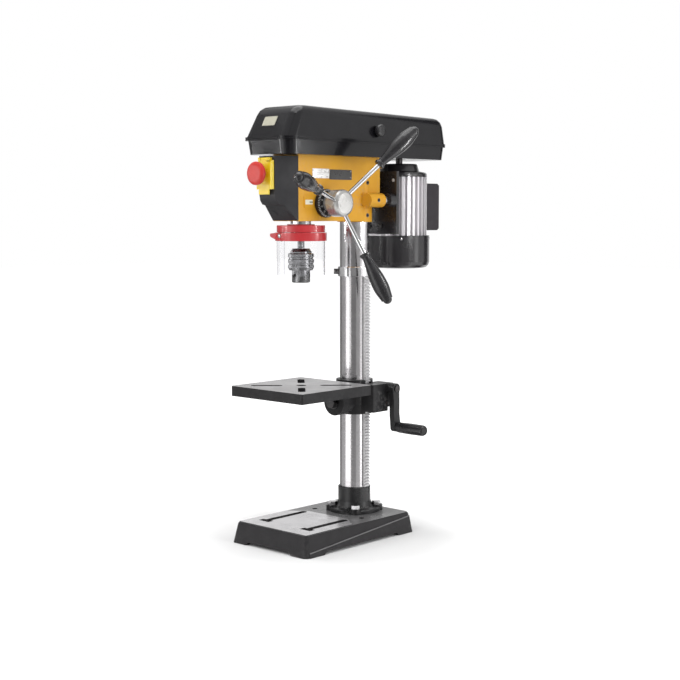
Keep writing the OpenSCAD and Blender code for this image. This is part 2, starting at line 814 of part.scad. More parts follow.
// One jaw at a third of the turn, cut to its own sector so that the three meet on the axis
module jaw(a) {
    wedge = 40;
    color("#5e5e63") chuck_at() rotate(a) jaw_open() intersection() {
        jaw_bar(jaw_r, 0, 0);
        translate([0, 0, jaw_bottom - 10]) linear_extrude(100)
            polygon([[0.2, 0], [wedge, wedge * tan(60)], [wedge, -wedge * tan(60)]]);
    }
}

// Guard on the quill
module guard_holder() {
    z0 = band_z1 + gap;
    roof_z = guard_top - 6;
    color("#d5343c") chuck_at() difference() {
        union() {
            translate([0, 0, z0]) cylinder(r = quill_r + 7, h = guard_top - z0);
            difference() {
                union() {
                    translate([0, 0, roof_z]) cylinder(r = shield_r, h = 4);
                    translate([0, 0, z0]) tube(shield_r, shield_r - 3, roof_z - z0);
                }
                // Open behind, where the feed pinion housing and the column are
                translate([0, 0, z0 - 1]) linear_extrude(60)
                    polygon([[quill_r - 10, 0], [80, 80], [80, 120], [-120, 120], [-120, 8],
                             [-quill_r, 8]]);
            }
            translate([lug_x, 0, z0]) cylinder(r = 6, h = roof_z - z0);
            block([lug_x, -6, z0], [lug_x + 10, 6, roof_z]);
        }
        translate([0, 0, band_z1 - 1]) cylinder(r = quill_r + fit, h = 60);
        translate([lug_x, 0, band_z1 - 1]) cylinder(r = 2 + fit, h = 60);
        block([-1, 10, band_z1], [1, 60, guard_top + 1]);
    }
}

module guard_hinge_pin() {
    color("#58585c") chuck_at() translate([lug_x, 0, 0]) {
        translate([0, 0, band_z0 - 2]) cylinder(r = 2, h = guard_top - band_z0);
        translate([0, 0, guard_top - 6]) cylinder(r = 4, h = 3);
    }
}

// Sector of a tube from the left lug through the front to the right rear
module guard_wrap(r_out, r_in, h) {
    rotate(180) rotate_extrude(angle = 225) translate([r_in, 0]) square([r_out - r_in, h]);
}

module guard_band() {
    color("#df3b40") chuck_at() difference() {
        union() {
            translate([0, 0, band_z0]) guard_wrap(shield_r + 3.2, shield_r, band_z1 - band_z0);
            translate([lug_x, 0, band_z0]) cylinder(r = 6, h = band_z1 - band_z0);
            block([lug_x, -6, band_z0], [-shield_r - 0.6, 0, band_z1]);
        }
        translate([lug_x, 0, band_z0 - 1]) cylinder(r = 2 + fit, h = 60);
    }
}

module guard_shield() {
    color([0.9, 0.95, 1, 0.35]) chuck_at() translate([0, 0, band_z0 - shield_h])
        guard_wrap(shield_r, shield_r - 2, shield_h + band_z1 - band_z0);
}

// Feed: pinion shaft, hub, spokes, grips and depth ring
module feed_at() {
    translate([0, feed_y, feed_z]) children();
}

module pinion_shaft() {
    color("#8e8d92") feed_at() {
        rotate([90, 0, 90]) translate([0, 0, -11]) linear_extrude(22)
            rotate(180) gear_outline(feed_m, feed_teeth, feed_m * feed_teeth / 2 + 1.45, 0.2);
        rod_x(10, 10, 13);
        rod_x(14, 12.5, head_half - 0.2);
        rod_x(8, -head_half - 18, -11);
        rod_x(10, head_half - 1, hub_x1 - 8);
    }
}

module spoke_place(a) {
    rotate([a, 0, 0]) translate([spoke_x, 0, 0]) rotate([0, 0, -spoke_tilt]) children();
}

module feed_hub() {
    color("#e4e4e6") feed_at() difference() {
        rotate([0, 90, 0]) rotate_extrude() polygon([[10 + fit, dial_x], [neck_r, dial_x],
            [neck_r, hub_x0 - 3], [neck_r + 3, hub_x0], [hub_r - 2, hub_x0], [hub_r, hub_x0 + 2],
            [hub_r, hub_x1 - 6],
            [hub_r - 1.8, hub_x1 - 2], [hub_r - 6, hub_x1], [0, hub_x1], [0, hub_x1 - 8 + fit],
            [10 + fit, hub_x1 - 8 + fit]]);
        for (a = spoke_angles) spoke_place(a) rod_y(spoke_d / 2 + fit, 13, 60);
    }
}

module feed_spokes() {
    color("#d7d7d9") feed_at() for (a = spoke_angles) spoke_place(a)
        rod_y(spoke_d / 2, 13.2, grip_start / cos(spoke_tilt) + 20);
}

module feed_grips() {
    s = 1 / cos(spoke_tilt);
    r0 = spoke_d / 2;
    len = (spoke_end - grip_start) * s;
    color("#2a292c") feed_at() for (a = spoke_angles) spoke_place(a)
        translate([0, grip_start * s, 0]) rotate([-90, 0, 0]) {
            difference() {
                rotate_extrude() polygon(concat([[0, 0], [9, 0], [10.5, 1.5], [10.5, 5], [8.2, 8]],
                    [for (t = [0:0.1:1]) [8.2 + 4.3 * pow(sin(t * 128), 1.3), 9 + t * (len - 9)]],
                    [[0, len]]));
                translate([0, 0, -1]) cylinder(r = r0 + fit, h = 22);
            }
            translate([0, 0, len]) sphere(r = grip_end_r);
        }
}

module depth_ring() {
    color("#2f2e31") feed_at() difference() {
        rotate([0, 90, 0]) rotate_extrude() polygon([[neck_r + fit, dial_x], [dial_r - 1, dial_x],
            [dial_r, dial_x + 1], [dial_r, dial_x + dial_w - 4], [dial_r - 4, dial_x + dial_w],
            [neck_r + fit, dial_x + dial_w]]);
        for (i = [0:23]) rotate([i * 15, 0, 0]) translate([dial_x + dial_w / 2, dial_r + 0.4, 0])
            cube([dial_w + 2, 2, 1.4], center = true);
    }
}

// Pulleys and belt
module groove_profile(r_bore, flip) {
    n = len(step_r);
    edge = 3.5;
    pts = [for (i = [0:n - 1]) let(r = step_r[flip ? n - 1 - i : i], z = i * groove_h)
        [[r + edge, z], [r + edge, z + 1.5], [r - 4, z + 4.5], [r - 4, z + 7.5], [r + edge, z + 10.5],
         [r + edge, z + groove_h]]];
    polygon(concat([[r_bore, 0]], [for (p = pts) each p], [[r_bore, n * groove_h]]));
}

module spindle_pulley() {
    color("#b4b4b8") translate([0, spindle_y, 0]) difference() {
        union() {
            translate([0, 0, pulley_z]) rotate_extrude() groove_profile(0, false);
            translate([0, 0, quill_top + 2.5]) cylinder(r = sleeve_shaft_r, h = pulley_z - quill_top);
        }
        translate([0, 0, quill_top]) linear_extrude(2 * spline_len) spline(spline_r, 0.12);
    }
}

module motor_pulley() {
    color("#b4b4b8") translate([0, motor_y, pulley_z]) rotate_extrude() groove_profile(shaft_r + fit, true);
}

module belt_section() {
    polygon([[-2.2, -1.9], [3.2, -4], [3.2, 4], [-2.2, 1.9]]);
}

module drive_belt() {
    z = pulley_z + belt_step * groove_h + 6;
    color("#232225") translate([0, 0, z]) {
        translate([0, motor_y, 0]) rotate_extrude(angle = 180) translate([belt_r, 0]) belt_section();
        translate([0, spindle_y, 0]) rotate(180) rotate_extrude(angle = 180) translate([belt_r, 0])
            belt_section();
        for (s = [0, 1]) mirror([s, 0, 0]) translate([belt_r, spindle_y, 0]) rotate([-90, 0, 0])
            linear_extrude(motor_y - spindle_y) mirror([0, 1]) belt_section();
    }
}

// Motor and its sliding plate
module motor_at() {
    translate([0, motor_y, 0]) children();
}

module motor_plate() {
    color("#29282a") difference() {
        union() {
            block([-boss_x - 12, plate_y0, motor_z0 + 4], [boss_x + 12, plate_y0 + plate_t, motor_z1 + 10]);
            for (s = [-1, 1]) translate([s * boss_x, 0, boss_z]) rod_y(14, plate_y0 - 18, plate_y0 + 1);
        }
        for (s = [-1, 1]) translate([s * boss_x, 0, boss_z]) rod_y(rod_r + fit, plate_y0 - 20, rod_end);
        motor_bolt_places() rod_y(3.2, -1, plate_t + 1);
    }
}

module motor_bolt_places() {
    for (x = [-16, 16], z = [motor_z0 + 20, motor_z1 - 20]) translate([x, plate_y0, z]) children();
}

module slide_rods() {
    color("#c8c8cb") for (s = [-1, 1]) translate([s * boss_x, 0, boss_z]) rod_y(rod_r, 0, rod_end);
}

module motor_body() {
    fins = 30;
    color("#c9c8ca") difference() {
        motor_at() translate([0, 0, motor_z0]) linear_extrude(motor_z1 - motor_z0) difference() {
            union() {
                circle(motor_r - 6);
                for (i = [0:fins - 1]) rotate((i + 0.5) * 360 / fins) translate([motor_r - 10, -2.2])
                    square([10, 4.4]);
                translate([-22, plate_y0 + plate_t - motor_y]) square([44, motor_y - plate_y0 - plate_t]);
                translate([-14, 0]) square([28, motor_r]);
            }
            circle(motor_r - 10);
        }
        motor_bolt_places() rod_y(3 + fit, plate_t - 1, plate_t + 11);
    }
}

module motor_bolts() {
    color("#8b8a8e") motor_bolt_places() {
        rod_y(3, -0.01, plate_t + 10);
        rod_y(5, -4, 0);
    }
}

module motor_top_bell() {
    color("#262528") motor_at() difference() {
        translate([0, 0, motor_z1]) rotate_extrude() polygon([[0, 0], [motor_r, 0], [motor_r, 6],
            [motor_r - 2, 9], [motor_r - 16, 12], [motor_r - 20, 25], [motor_r - 22, 27], [0, 27]]);
        translate([0, 0, motor_z1 - 1]) cylinder(r = motor_r - 11, h = 9);
        translate([0, 0, motor_z1]) cylinder(r = 16 + fit, h = 20);
        translate([0, 0, motor_z1]) cylinder(r = shaft_r + gap, h = 40);
    }
}

module motor_lower_bell() {
    vents = 12;
    color("#242326") motor_at() difference() {
        translate([0, 0, bell_z0]) rotate_extrude() polygon([[0, 0], [bell_r - 14, 0], [bell_r - 6, 2],
            [bell_r - 1.5, 7], [bell_r, 13], [bell_r, motor_z0 - bell_z0], [0, motor_z0 - bell_z0]]);
        difference() {
            translate([0, 0, bell_z0 + 4]) cylinder(r = bell_r - 8, h = 100);
            translate([0, 0, bell_z0]) cylinder(r = 20, h = 20);
        }
        translate([0, 0, bell_z0 + 8]) cylinder(r = 16 + fit, h = 20);
        for (i = [0:vents - 1]) rotate(i * 360 / vents) translate([28, -2, bell_z0 - 1]) cube([18, 4, 10]);
    }
}

module motor_bearings() {
    color("#a9aab0") motor_at() {
        translate([0, 0, bell_z0 + 8]) ball_bearing(shaft_r + fit, 16, 10);
        translate([0, 0, motor_z1 + 9.5]) ball_bearing(shaft_r + fit, 16, 10);
    }
}

module motor_stator() {
    color("#8c5a35") motor_at() translate([0, 0, motor_z0 + 25]) tube(motor_r - 10 - fit, 31, 66);
}

module motor_rotor() {
    blades = 8;
    color("#9c9ba0") motor_at() {
        translate([0, 0, bell_z0 + 9]) cylinder(r = shaft_r, h = pulley_z + 62 - bell_z0 - 9);
        translate([0, 0, motor_z0 + 22]) cylinder(r = 30.4, h = 72);
        translate([0, 0, motor_z0 - 12]) for (i = [0:blades - 1]) rotate(i * 360 / blades)
            block([6, -1.2, 0], [30, 1.2, 34]);
    }
}

module capacitor_box() {
    y0 = motor_y + motor_r;
    color("#3b393e") translate([0, 0, head_bottom - 21]) {
        translate([0, 0, 3]) linear_extrude(93) plan(-22, 22, y0, y0 + cap_depth, 6);
        linear_extrude(99) plan(-20, 20, y0 + 2, y0 + cap_depth - 2, 5);
    }
}

// Table lift: rack, bracket, pinion, worm and crank
module rack() {
    n = ceil((ring_bottom - flange_top) / lift_pitch);
    color("#a3a2a5") difference() {
        block([rack_back, -rack_half, flange_top + 0.3], [rack_tip_x, rack_half, ring_bottom - 0.3]);
        for (k = [-n:n]) translate([rack_pitch_x, 0, pinion_z + k * lift_pitch]) rotate([90, 0, 0])
            linear_extrude(40, center = true) rack_gap(lift_m, rack_pitch_x - rack_root_x, 3, 0.2);
    }
}

module bracket_ears() {
    block([-15, 20, clamp_z - 16], [15, clamp_y, clamp_z + 16]);
    translate([0, clamp_y, clamp_z]) rod_x(16, -15, 15);
}

module table_bracket() {
    color("#343336") difference() {
        union() {
            translate([0, 0, sleeve_bottom]) cylinder(r = sleeve_r, h = table_top - sleeve_bottom);
            translate([0, 0, tilt_z]) rod_y(tilt_r, tilt_y, 0);
            block([15, -16, sleeve_bottom + 6], [box_x, 28, table_top - 7]);
            block([26, 27, pinion_z - 18], [box_x, worm_y + 13, table_top - 7]);
            translate([0, worm_y, worm_z]) rod_x(11, box_x - 1, crank_x - 1);
            bracket_ears();
        }
        translate([0, 0, sleeve_bottom - 1]) cylinder(r = col_r + 0.1, h = 100);
        block([0, -rack_half - gap, sleeve_bottom - 1], [rack_tip_x + gap, rack_half + gap, table_top + 1]);
        translate([pinion_x, 0, pinion_z]) {
            rod_y(lift_pitch_r + 2.4, -8, worm_y + 5);
            rod_y(5 + fit, -12, worm_y + 9);
        }
        translate([0, worm_y, worm_z]) {
            rod_x(10, pinion_x - 13, pinion_x + 15);
            rod_x(6 + fit, pinion_x, box_x + 10);
            rod_x(4 + fit, pinion_x - 17, pinion_x);
        }
        translate([0, 0, tilt_z]) rod_y(tilt_bolt_r + fit, tilt_y - 1, tilt_y + 11);
        block([-1.5, 20, sleeve_bottom - 1], [1.5, clamp_y + 30, table_top + 1]);
        translate([0, clamp_y, clamp_z]) rod_x(5 + fit, -20, 20);
    }
}

module lock_lever() {
    color("#2c2b2e") translate([0, clamp_y, clamp_z]) {
        rod_x(5, -27, 17);
        rod_x(10, -30, -15 - gap);
        rod_x(9, 15 + gap, 21);
        translate([-24, 0, -56]) cylinder(r1 = 5.5, r2 = 4.5, h = 50);
        translate([-24, 0, -58]) sphere(r = 8.5);
    }
}

module table_pinion() {
    tip = lift_pitch_r + 1.9;
    color("#98979b") translate([pinion_x, 0, pinion_z]) {
        rotate([90, 0, 0]) translate([0, 0, -rack_half]) linear_extrude(2 * rack_half - 0.5)
            gear_outline(lift_m, lift_teeth, tip, 0.25);
        rotate([90, 0, 0]) translate([0, 0, -worm_y - 4]) linear_extrude(8)
            gear_outline(lift_m, lift_teeth, tip - 0.3, 0.35);
        rod_y(5, -11.8, worm_y + 8.8);
    }
}

// Single-start right-hand worm thread, swept as rings of a trapezoid section
function worm_point(p, a) = [p[0] + lift_pitch * a / 360, p[1] * cos(a), p[1] * sin(a)];

module worm_thread() {
    n = worm_steps * worm_turns;
    m = len(worm_section);
    points = [for (i = [0:n]) for (p = worm_section) worm_point(p, i * 360 / worm_steps)];
    sides = [for (i = [0:n - 1]) for (k = [0:m - 1]) let(j = (k + 1) % m)
        [i * m + k, i * m + j, (i + 1) * m + j, (i + 1) * m + k]];
    polyhedron(points, concat([[for (k = [m - 1:-1:0]) k]], sides, [[for (k = [0:m - 1]) n * m + k]]));
}

module crank_shaft() {
    start = pinion_x - lift_pitch / 4 - lift_pitch;
    color("#97969a") translate([0, worm_y, worm_z]) {
        translate([start, 0, 0]) worm_thread();
        rod_x(6.2, pinion_x - 12, pinion_x + 13);
        rod_x(4, pinion_x - 16, pinion_x - 11);
        rod_x(6, pinion_x + 12, crank_x + 17);
    }
}

module crank_disc(x, z, r) {
    translate([0, 0, z]) rod_x(r, x, x + arm_t, $fn = 32);
}

module crank_arm() {
    color("#2e2d30") translate([0, worm_y, worm_z]) difference() {
        union() {
            hull() {
                crank_disc(crank_x + 2, 0, 10);
                crank_disc(crank_x + 4, -26, 8.5);
            }
            hull() {
                crank_disc(crank_x + 4, -26, 8.5);
                crank_disc(crank_x + 4, -52, 8.5);
            }
            hull() {
                crank_disc(crank_x + 4, -52, 8.5);
                crank_disc(crank_x + arm_end, -crank_r, 9.5);
            }
            rod_x(11, crank_x, crank_x + 15);
            translate([0, 0, -crank_r]) {
                rod_x(4, crank_x + 15, reach_right - 3);
                rod_x(6.5, reach_right - 4, reach_right - 1);
            }
        }
        rod_x(6 + fit, crank_x - 1, crank_x + 30);
    }
}

module crank_grip() {
    x0 = crank_x + arm_end + arm_t + gap;
    color("#29282b") translate([0, worm_y, worm_z - crank_r]) difference() {
        rotate([0, 90, 0]) rotate_extrude() polygon([[4 + fit, x0], [8, x0], [9.2, x0 + 2], [9.5, x0 + 30],
            [9.2, reach_right - 3], [7.8, reach_right], [4 + fit, reach_right]]);
        rod_x(6.5 + gap, reach_right - 4 - gap, reach_right + 1);
    }
}

// Table with its tilt lug
module table() {
    h = table_w / 2;
    in = h - 9;
    color("#3d3c3f") difference() {
        union() {
            translate([0, spindle_y, table_top - table_t]) difference() {
                linear_extrude(table_t) plan(-h, h, -h, h, 4);
                difference() {
                    translate([0, 0, -1]) linear_extrude(table_t - 11) plan(-in, in, -in, in, 6);
                    for (a = [45, 135]) rotate(a) cube([table_w * 1.5, 42, 60], center = true);
                }
            }
            translate([0, 0, tilt_z]) rod_y(tilt_r, tilt_y - tilt_lug, tilt_y - 0.2);
            block([-22, tilt_y - tilt_lug - 19, tilt_z + 14], [22, tilt_y - 0.2, table_top - 8]);
        }
        translate([0, spindle_y, table_top - 60]) cylinder(d = table_hole_d, h = 100);
        for (a = [45:90:315]) translate([0, spindle_y, table_top - 40]) rotate(a) linear_extrude(60) {
            translate([44, 0]) circle(d = table_slot_w);
            translate([92, 0]) circle(d = table_slot_w);
            translate([44, -table_slot_w / 2]) square([48, table_slot_w]);
        }
        translate([0, 0, tilt_z]) rod_y(tilt_bolt_r + fit, tilt_y - tilt_lug - 1, tilt_y + 1);
    }
}

module tilt_bolt() {
    color("#8f8e92") translate([0, 0, tilt_z]) {
        rod_y(tilt_bolt_r, tilt_y - tilt_lug - 1, tilt_y + 10);
        rod_y(tilt_bolt_r + 5, tilt_y - tilt_lug - 2.6, tilt_y - tilt_lug - 0.2);
        translate([0, tilt_y - tilt_lug - 2.6, 0]) rotate([90, 0, 0]) hex_head(20, 9);
    }
}

place() base();
place() column_flange();
place() flange_bolts();
place() column();
place() rack_ring();
place() set_screws();
place() head_casting();
place() front_housing();
place() cover_screws();
place() switch_box();
place() cover_pan();
place() lid_hinge_pins();
place() sleeve_bearings();
place() spring_cup();
place() return_spring();
place() drive_belt();
place() cable_gland();
place() quill();
place() quill_bearings();
place() guard_holder();
place() guard_hinge_pin();
place() guard_band();
place() guard_shield();
place() spindle();
place() chuck_body();
place() chuck_sleeve();
place() jaw(90);  // jaw_a
place() jaw(210);  // jaw_b
place() jaw(330);  // jaw_c
place() spindle_pulley();
place() pinion_shaft();
place() feed_hub();
place() feed_spokes();
place() feed_grips();
place() depth_ring();
place() motor_plate();
place() slide_rods();
place() motor_body();
place() motor_top_bell();
place() motor_lower_bell();
place() motor_stator();
place() motor_bearings();
place() motor_bolts();
place() capacitor_box();
place() motor_rotor();
place() motor_pulley();
place() cover_lid();
place() lid_knob();
place() switch_flap();
place() stop_button();
place() start_button();
place() rack();
place() table_bracket();
place() lock_lever();
place() table_pinion();
place() crank_shaft();
place() crank_arm();
place() crank_grip();
place() table();
place() tilt_bolt();
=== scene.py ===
# %% [markdown]
# This lesson dresses a benchtop drill press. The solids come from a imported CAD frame, where every
# piece already has its real size, its place and its joint. Blender adds what the solids can't show:
# rounded edges, paint, polish, plates, tick marks and light. Loading the frame comes first, because
# everything that follows sits on it.

# %% Load the frame
import bmesh
import bpy
import json
import math
from mathutils import Matrix, Vector

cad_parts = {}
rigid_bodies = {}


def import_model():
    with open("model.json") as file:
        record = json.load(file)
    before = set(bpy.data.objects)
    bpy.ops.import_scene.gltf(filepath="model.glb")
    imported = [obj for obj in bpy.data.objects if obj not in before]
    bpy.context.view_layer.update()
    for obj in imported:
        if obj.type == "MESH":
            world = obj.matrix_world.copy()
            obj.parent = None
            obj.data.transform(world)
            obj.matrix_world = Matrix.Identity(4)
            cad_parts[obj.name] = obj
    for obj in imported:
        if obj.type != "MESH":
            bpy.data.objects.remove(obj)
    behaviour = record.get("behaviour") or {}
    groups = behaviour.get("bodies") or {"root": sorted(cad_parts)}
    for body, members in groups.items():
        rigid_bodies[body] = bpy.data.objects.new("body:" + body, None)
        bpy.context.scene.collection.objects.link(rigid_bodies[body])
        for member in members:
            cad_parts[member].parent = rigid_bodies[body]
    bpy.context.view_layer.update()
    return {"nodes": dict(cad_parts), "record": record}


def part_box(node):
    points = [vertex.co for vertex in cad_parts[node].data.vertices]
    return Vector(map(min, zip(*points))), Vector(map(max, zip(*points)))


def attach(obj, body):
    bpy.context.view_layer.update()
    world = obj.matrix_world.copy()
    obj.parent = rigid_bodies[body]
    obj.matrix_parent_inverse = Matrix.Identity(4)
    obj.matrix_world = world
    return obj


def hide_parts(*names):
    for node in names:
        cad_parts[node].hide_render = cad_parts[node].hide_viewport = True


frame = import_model()

# %% [markdown]
# The machine was measured from its column: every height and reach is a number of millimetres from
# the column axis at bench level. One helper turns such a point into the frame's metres, so the
# numbers below read like a workshop drawing. The others give a step in millimetres, a level
# direction from its bearing, and a new object in the scene.

# %% Places on the machine
MM = 0.001
scene = bpy.context.scene
column_low, column_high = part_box("column")
AXIS_X = (column_low.x + column_high.x) / 2
AXIS_Y = (column_low.y + column_high.y) / 2


def at(x, y, z):
    return Vector((AXIS_X + x * MM, AXIS_Y + y * MM, z * MM))


def flat(x, y, z):
    return Vector((x, y, z)) * MM


def heading(degrees):
    turn = math.radians(degrees)
    return Vector((math.cos(turn), math.sin(turn), 0.0))


def linked(name, data):
    made = bpy.data.objects.new(name, data)
    scene.collection.objects.link(made)
    return made


print("column axis", round(AXIS_X, 4), round(AXIS_Y, 4))

# %% [markdown]
# The picture was taken from the front right, a little above the middle of the machine, with a long
# lens. A long lens keeps the column's edges nearly parallel. The camera is placed by its measured
# position and turned by two angles, which is easier to adjust than a tracking target.

# %% Camera
CAMERA_PLACE = (1861, -2049, 650)
CAMERA_TURN = 42.86
CAMERA_DIP = 5.33
CAMERA_LENS = 72.16
SENSOR_WIDTH = 36.0
camera_data = bpy.data.cameras.new("studio_camera")
camera_data.sensor_fit = "HORIZONTAL"
camera_data.sensor_width = SENSOR_WIDTH
camera_data.lens = CAMERA_LENS
camera_data.clip_end = 50.0
camera = linked("studio_camera", camera_data)
camera.location = at(*CAMERA_PLACE)
camera.rotation_euler = (math.radians(90 - CAMERA_DIP), 0.0, math.radians(CAMERA_TURN))
scene.camera = camera
print("camera at", [round(v, 3) for v in camera.location])

# %% [markdown]
# Materials and repeated pieces are both built from nodes. A few helpers keep the steps below short:
# one gives an input a link or a plain value, and the others add the nodes that are used most often.

# %% Helpers for nodes
def feed(tree, socket, setting):
    if isinstance(setting, bpy.types.NodeSocket):
        tree.links.new(setting, socket)
    else:
        socket.default_value = setting


def step(tree, kind, **inputs):
    node = tree.nodes.new(kind)
    for label, setting in inputs.items():
        feed(tree, node.inputs[label.replace("_", " ")], setting)
    return node


def maths(tree, kind, operation, inputs):
    node = tree.nodes.new(kind)
    node.operation = operation
    for socket, setting in zip(node.inputs, inputs):
        feed(tree, socket, setting)
    return node.outputs


def calc(tree, operation, *inputs):
    return maths(tree, "ShaderNodeMath", operation, inputs)[0]


def vector_step(tree, operation, *inputs):
    return maths(tree, "ShaderNodeVectorMath", operation, inputs)


def spread(tree, value, low, high, to_low=0.0, to_high=1.0):
    node = step(tree, "ShaderNodeMapRange", Value=value, From_Min=low, From_Max=high, To_Min=to_low,
                To_Max=to_high)
    node.interpolation_type = "SMOOTHSTEP"
    return node.outputs["Result"]


def noise(tree, vector, scale, detail):
    node = step(tree, "ShaderNodeTexNoise", Vector=vector, Scale=scale, Detail=detail, Roughness=0.6)
    return node.outputs["Fac"]


def blend_colour(tree, factor, a, b):
    node = tree.nodes.new("ShaderNodeMix")
    node.data_type = "RGBA"
    feed(tree, node.inputs["Factor"], factor)
    for label, setting in (("A", a), ("B", b)):
        feed(tree, [s for s in node.inputs if s.name == label and s.type == "RGBA"][0], setting)
    return [s for s in node.outputs if s.type == "RGBA"][0]


def rgba(colour):
    return (colour[0], colour[1], colour[2], 1.0)


def scaled(colour, factor):
    return tuple(c * factor for c in colour)


def new_material(name, **values):
    made = bpy.data.materials.new(name)
    made.use_nodes = True
    shader = made.node_tree.nodes["Principled BSDF"]
    for label, setting in values.items():
        shader.inputs[label.replace("_", " ")].default_value = setting
    return made, made.node_tree, shader


WHITE = (1.0, 1.0, 1.0, 1.0)
BLACK = (0.0, 0.0, 0.0, 1.0)
GREY = (0.5, 0.5, 0.5, 1.0)

# %% [markdown]
# A product picture on white needs three things: a white background, soft light from large panels,
# and a floor that still takes the shadow. The world is white for camera, glossy and transmission
# rays, so polished steel mirrors a white studio, and dimmer for the diffuse light it casts.

# %% World and lamps
WORLD_LIGHT = 0.42
scene.view_settings.view_transform = "Standard"
world = bpy.data.worlds.new("white_studio")
world.use_nodes = True
scene.world = world


def seen_directly(tree):
    path = tree.nodes.new("ShaderNodeLightPath").outputs
    first = calc(tree, "MAXIMUM", path["Is Camera Ray"], path["Is Glossy Ray"])
    return calc(tree, "MAXIMUM", first, path["Is Transmission Ray"])


studio = world.node_tree
background = studio.nodes["Background"]
background.inputs["Color"].default_value = WHITE
feed(studio, background.inputs["Strength"], spread(studio, seen_directly(studio), 0.0, 1.0, WORLD_LIGHT, 1.0))

LAMP_TARGET = at(0, -40, 450)
LAMPS = {
    "front_panel": ((300, -1900, 1500), 1.2, 1.6, 20, False),
    "left_panel": ((-1700, -900, 1100), 0.9, 1.8, 16, False),
    "right_panel": ((1900, 200, 1000), 0.7, 1.8, 20, False),
    "top_panel": ((0, 0, 2300), 1.6, 1.6, 26, True),
}
for name, (place, width, height, watts, mirrored) in LAMPS.items():
    light = bpy.data.lights.new(name, "AREA")
    light.shape = "RECTANGLE"
    light.size = width
    light.size_y = height
    light.energy = watts
    lamp = linked(name, light)
    lamp.location = at(*place)
    lamp.rotation_euler = (LAMP_TARGET - at(*place)).to_track_quat("-Z", "Y").to_euler()
    lamp.visible_glossy = mirrored
print("lamps", len(LAMPS))

# %% [markdown]
# Polished steel only looks like steel when it has something dark to mirror, and black paint only
# looks glossy when it has something bright. Photographers stand dark boards and bright cards beside
# the object for that. These are seen by reflections alone, so they never show in the picture and
# never change the light. The floor is matte paper that glows a little away from the machine, so the
# edge of the floor can't be told from the background. The glow fades out near the base, so the
# shadow stays, and the fade also paints a soft shade round the machine.

# %% Floor, dark boards and bright cards
FLOOR_HALF = 12000
FLOOR_Z = -0.3
# painted shade: the floor's glow drops from 0.75 far off to 0.02 near the base, greying the floor round the
# machine
GLOW_MIDDLE = at(0, -90, 0)
GLOW_FROM = (0.2, 0.48)
GLOW_TO = (0.02, 0.75)


def sheet(name, corners, material):
    mesh = bpy.data.meshes.new(name)
    mesh.from_pydata([tuple(c) for c in corners], [], [tuple(range(len(corners)))])
    mesh.materials.append(material)
    return linked(name, mesh)


def level_square(half, z):
    return [at(-half, -half, z), at(half, -half, z), at(half, half, z), at(-half, half, z)]


floor_paper, paper, paper_shader = new_material(
    "floor_paper", Base_Color=rgba((0.82, 0.82, 0.82)), Roughness=0.8, Specular_IOR_Level=0.0,
    Emission_Color=WHITE)
paper_where = paper.nodes.new("ShaderNodeTexCoord").outputs["Object"]
paper_reach = vector_step(paper, "DISTANCE", paper_where, GLOW_MIDDLE)["Value"]
paper_glow = spread(paper, paper_reach, *GLOW_FROM, *GLOW_TO)
feed(paper, paper_shader.inputs["Emission Strength"],
     calc(paper, "MULTIPLY", seen_directly(paper), paper_glow))
floor = sheet("floor", level_square(FLOOR_HALF, FLOOR_Z), floor_paper)


def mirrored_only(name, corners, material):
    board = sheet(name, corners, material)
    board.visible_camera = False
    board.visible_diffuse = False
    board.visible_shadow = False
    board.visible_transmission = False


BOARD_NEAR = 380
BOARD_RISE = flat(0, 0, 1900)


def dark_board(name, bearing, span, far, material):
    ways = [heading(bearing - span / 2), heading(bearing + span / 2)]
    foot = at(0, 0, 1)
    near = [foot + way * BOARD_NEAR * MM for way in ways]
    low = [foot + way * far * MM for way in ways]
    mirrored_only(name + "_wall", [low[0], low[1], low[1] + BOARD_RISE, low[0] + BOARD_RISE], material)
    mirrored_only(name + "_mat", [near[0], near[1], low[1], low[0]], material)


def board_card(name, grey):
    return new_material(name, Base_Color=rgba((grey, grey, grey)), Roughness=0.9)[0]


board_black = board_card("board_black", 0.02)
board_dark = board_card("board_dark", 0.22)
board_grey = board_card("board_grey", 0.42)
dark_board("board_front", -55, 40, 1900, board_dark)
dark_board("board_side", -19, 32, 1900, board_grey)
dark_board("board_left", -143, 44, 1500, board_grey)
dark_board("board_back_left", 172, 46, 1500, board_dark)
dark_board("board_back_right", 74, 26, 1500, board_black)


def bright_card(name, level, low_x, low_y, high_x, high_y, low_z, high_z):
    card = new_material(name, Base_Color=BLACK, Emission_Color=WHITE, Emission_Strength=level)[0]
    mirrored_only(name, [at(low_x, low_y, low_z), at(high_x, high_y, low_z), at(high_x, high_y, high_z),
                         at(low_x, low_y, high_z)], card)
    return card


CARD_FAR = 1850
TALL = (1, 1500)
AT_COVER = (600, 780)


def around(bearing):
    return CARD_FAR * math.cos(math.radians(bearing)), CARD_FAR * math.sin(math.radians(bearing))


bright_card("card_left", 3.0, *around(-110), *around(-92), *TALL)
card_right = bright_card("card_right", 3.2, *around(16), *around(31), *TALL)
bright_card("card_front_end", 60.0, -218, -555, -200, -555, *AT_COVER)
bright_card("card_far_end", 50.0, -428, -555, -410, -555, *AT_COVER)
bright_card("card_side_end", 60.0, 405, 62, 405, 80, *AT_COVER)
mirrored_only("card_top", level_square(350, 2250), card_right)

# %% [markdown]
# Several finishes share the same effects: paint is never one flat colour, castings have a fine sand
# grain, turned steel has tool lines, and edges rub bare first. Each effect is a shader node group
# with named inputs, so a finish can place it with its own values.

# %% Shared surface effects
def new_group(name, inputs, outputs):
    tree = bpy.data.node_groups.new(name, "ShaderNodeTree")
    for label, kind, value in inputs:
        socket = tree.interface.new_socket(label, in_out="INPUT", socket_type=kind)
        socket.default_value = value
    for label, kind in outputs:
        tree.interface.new_socket(label, in_out="OUTPUT", socket_type=kind)
    return tree, tree.nodes.new("NodeGroupInput").outputs, tree.nodes.new("NodeGroupOutput").inputs


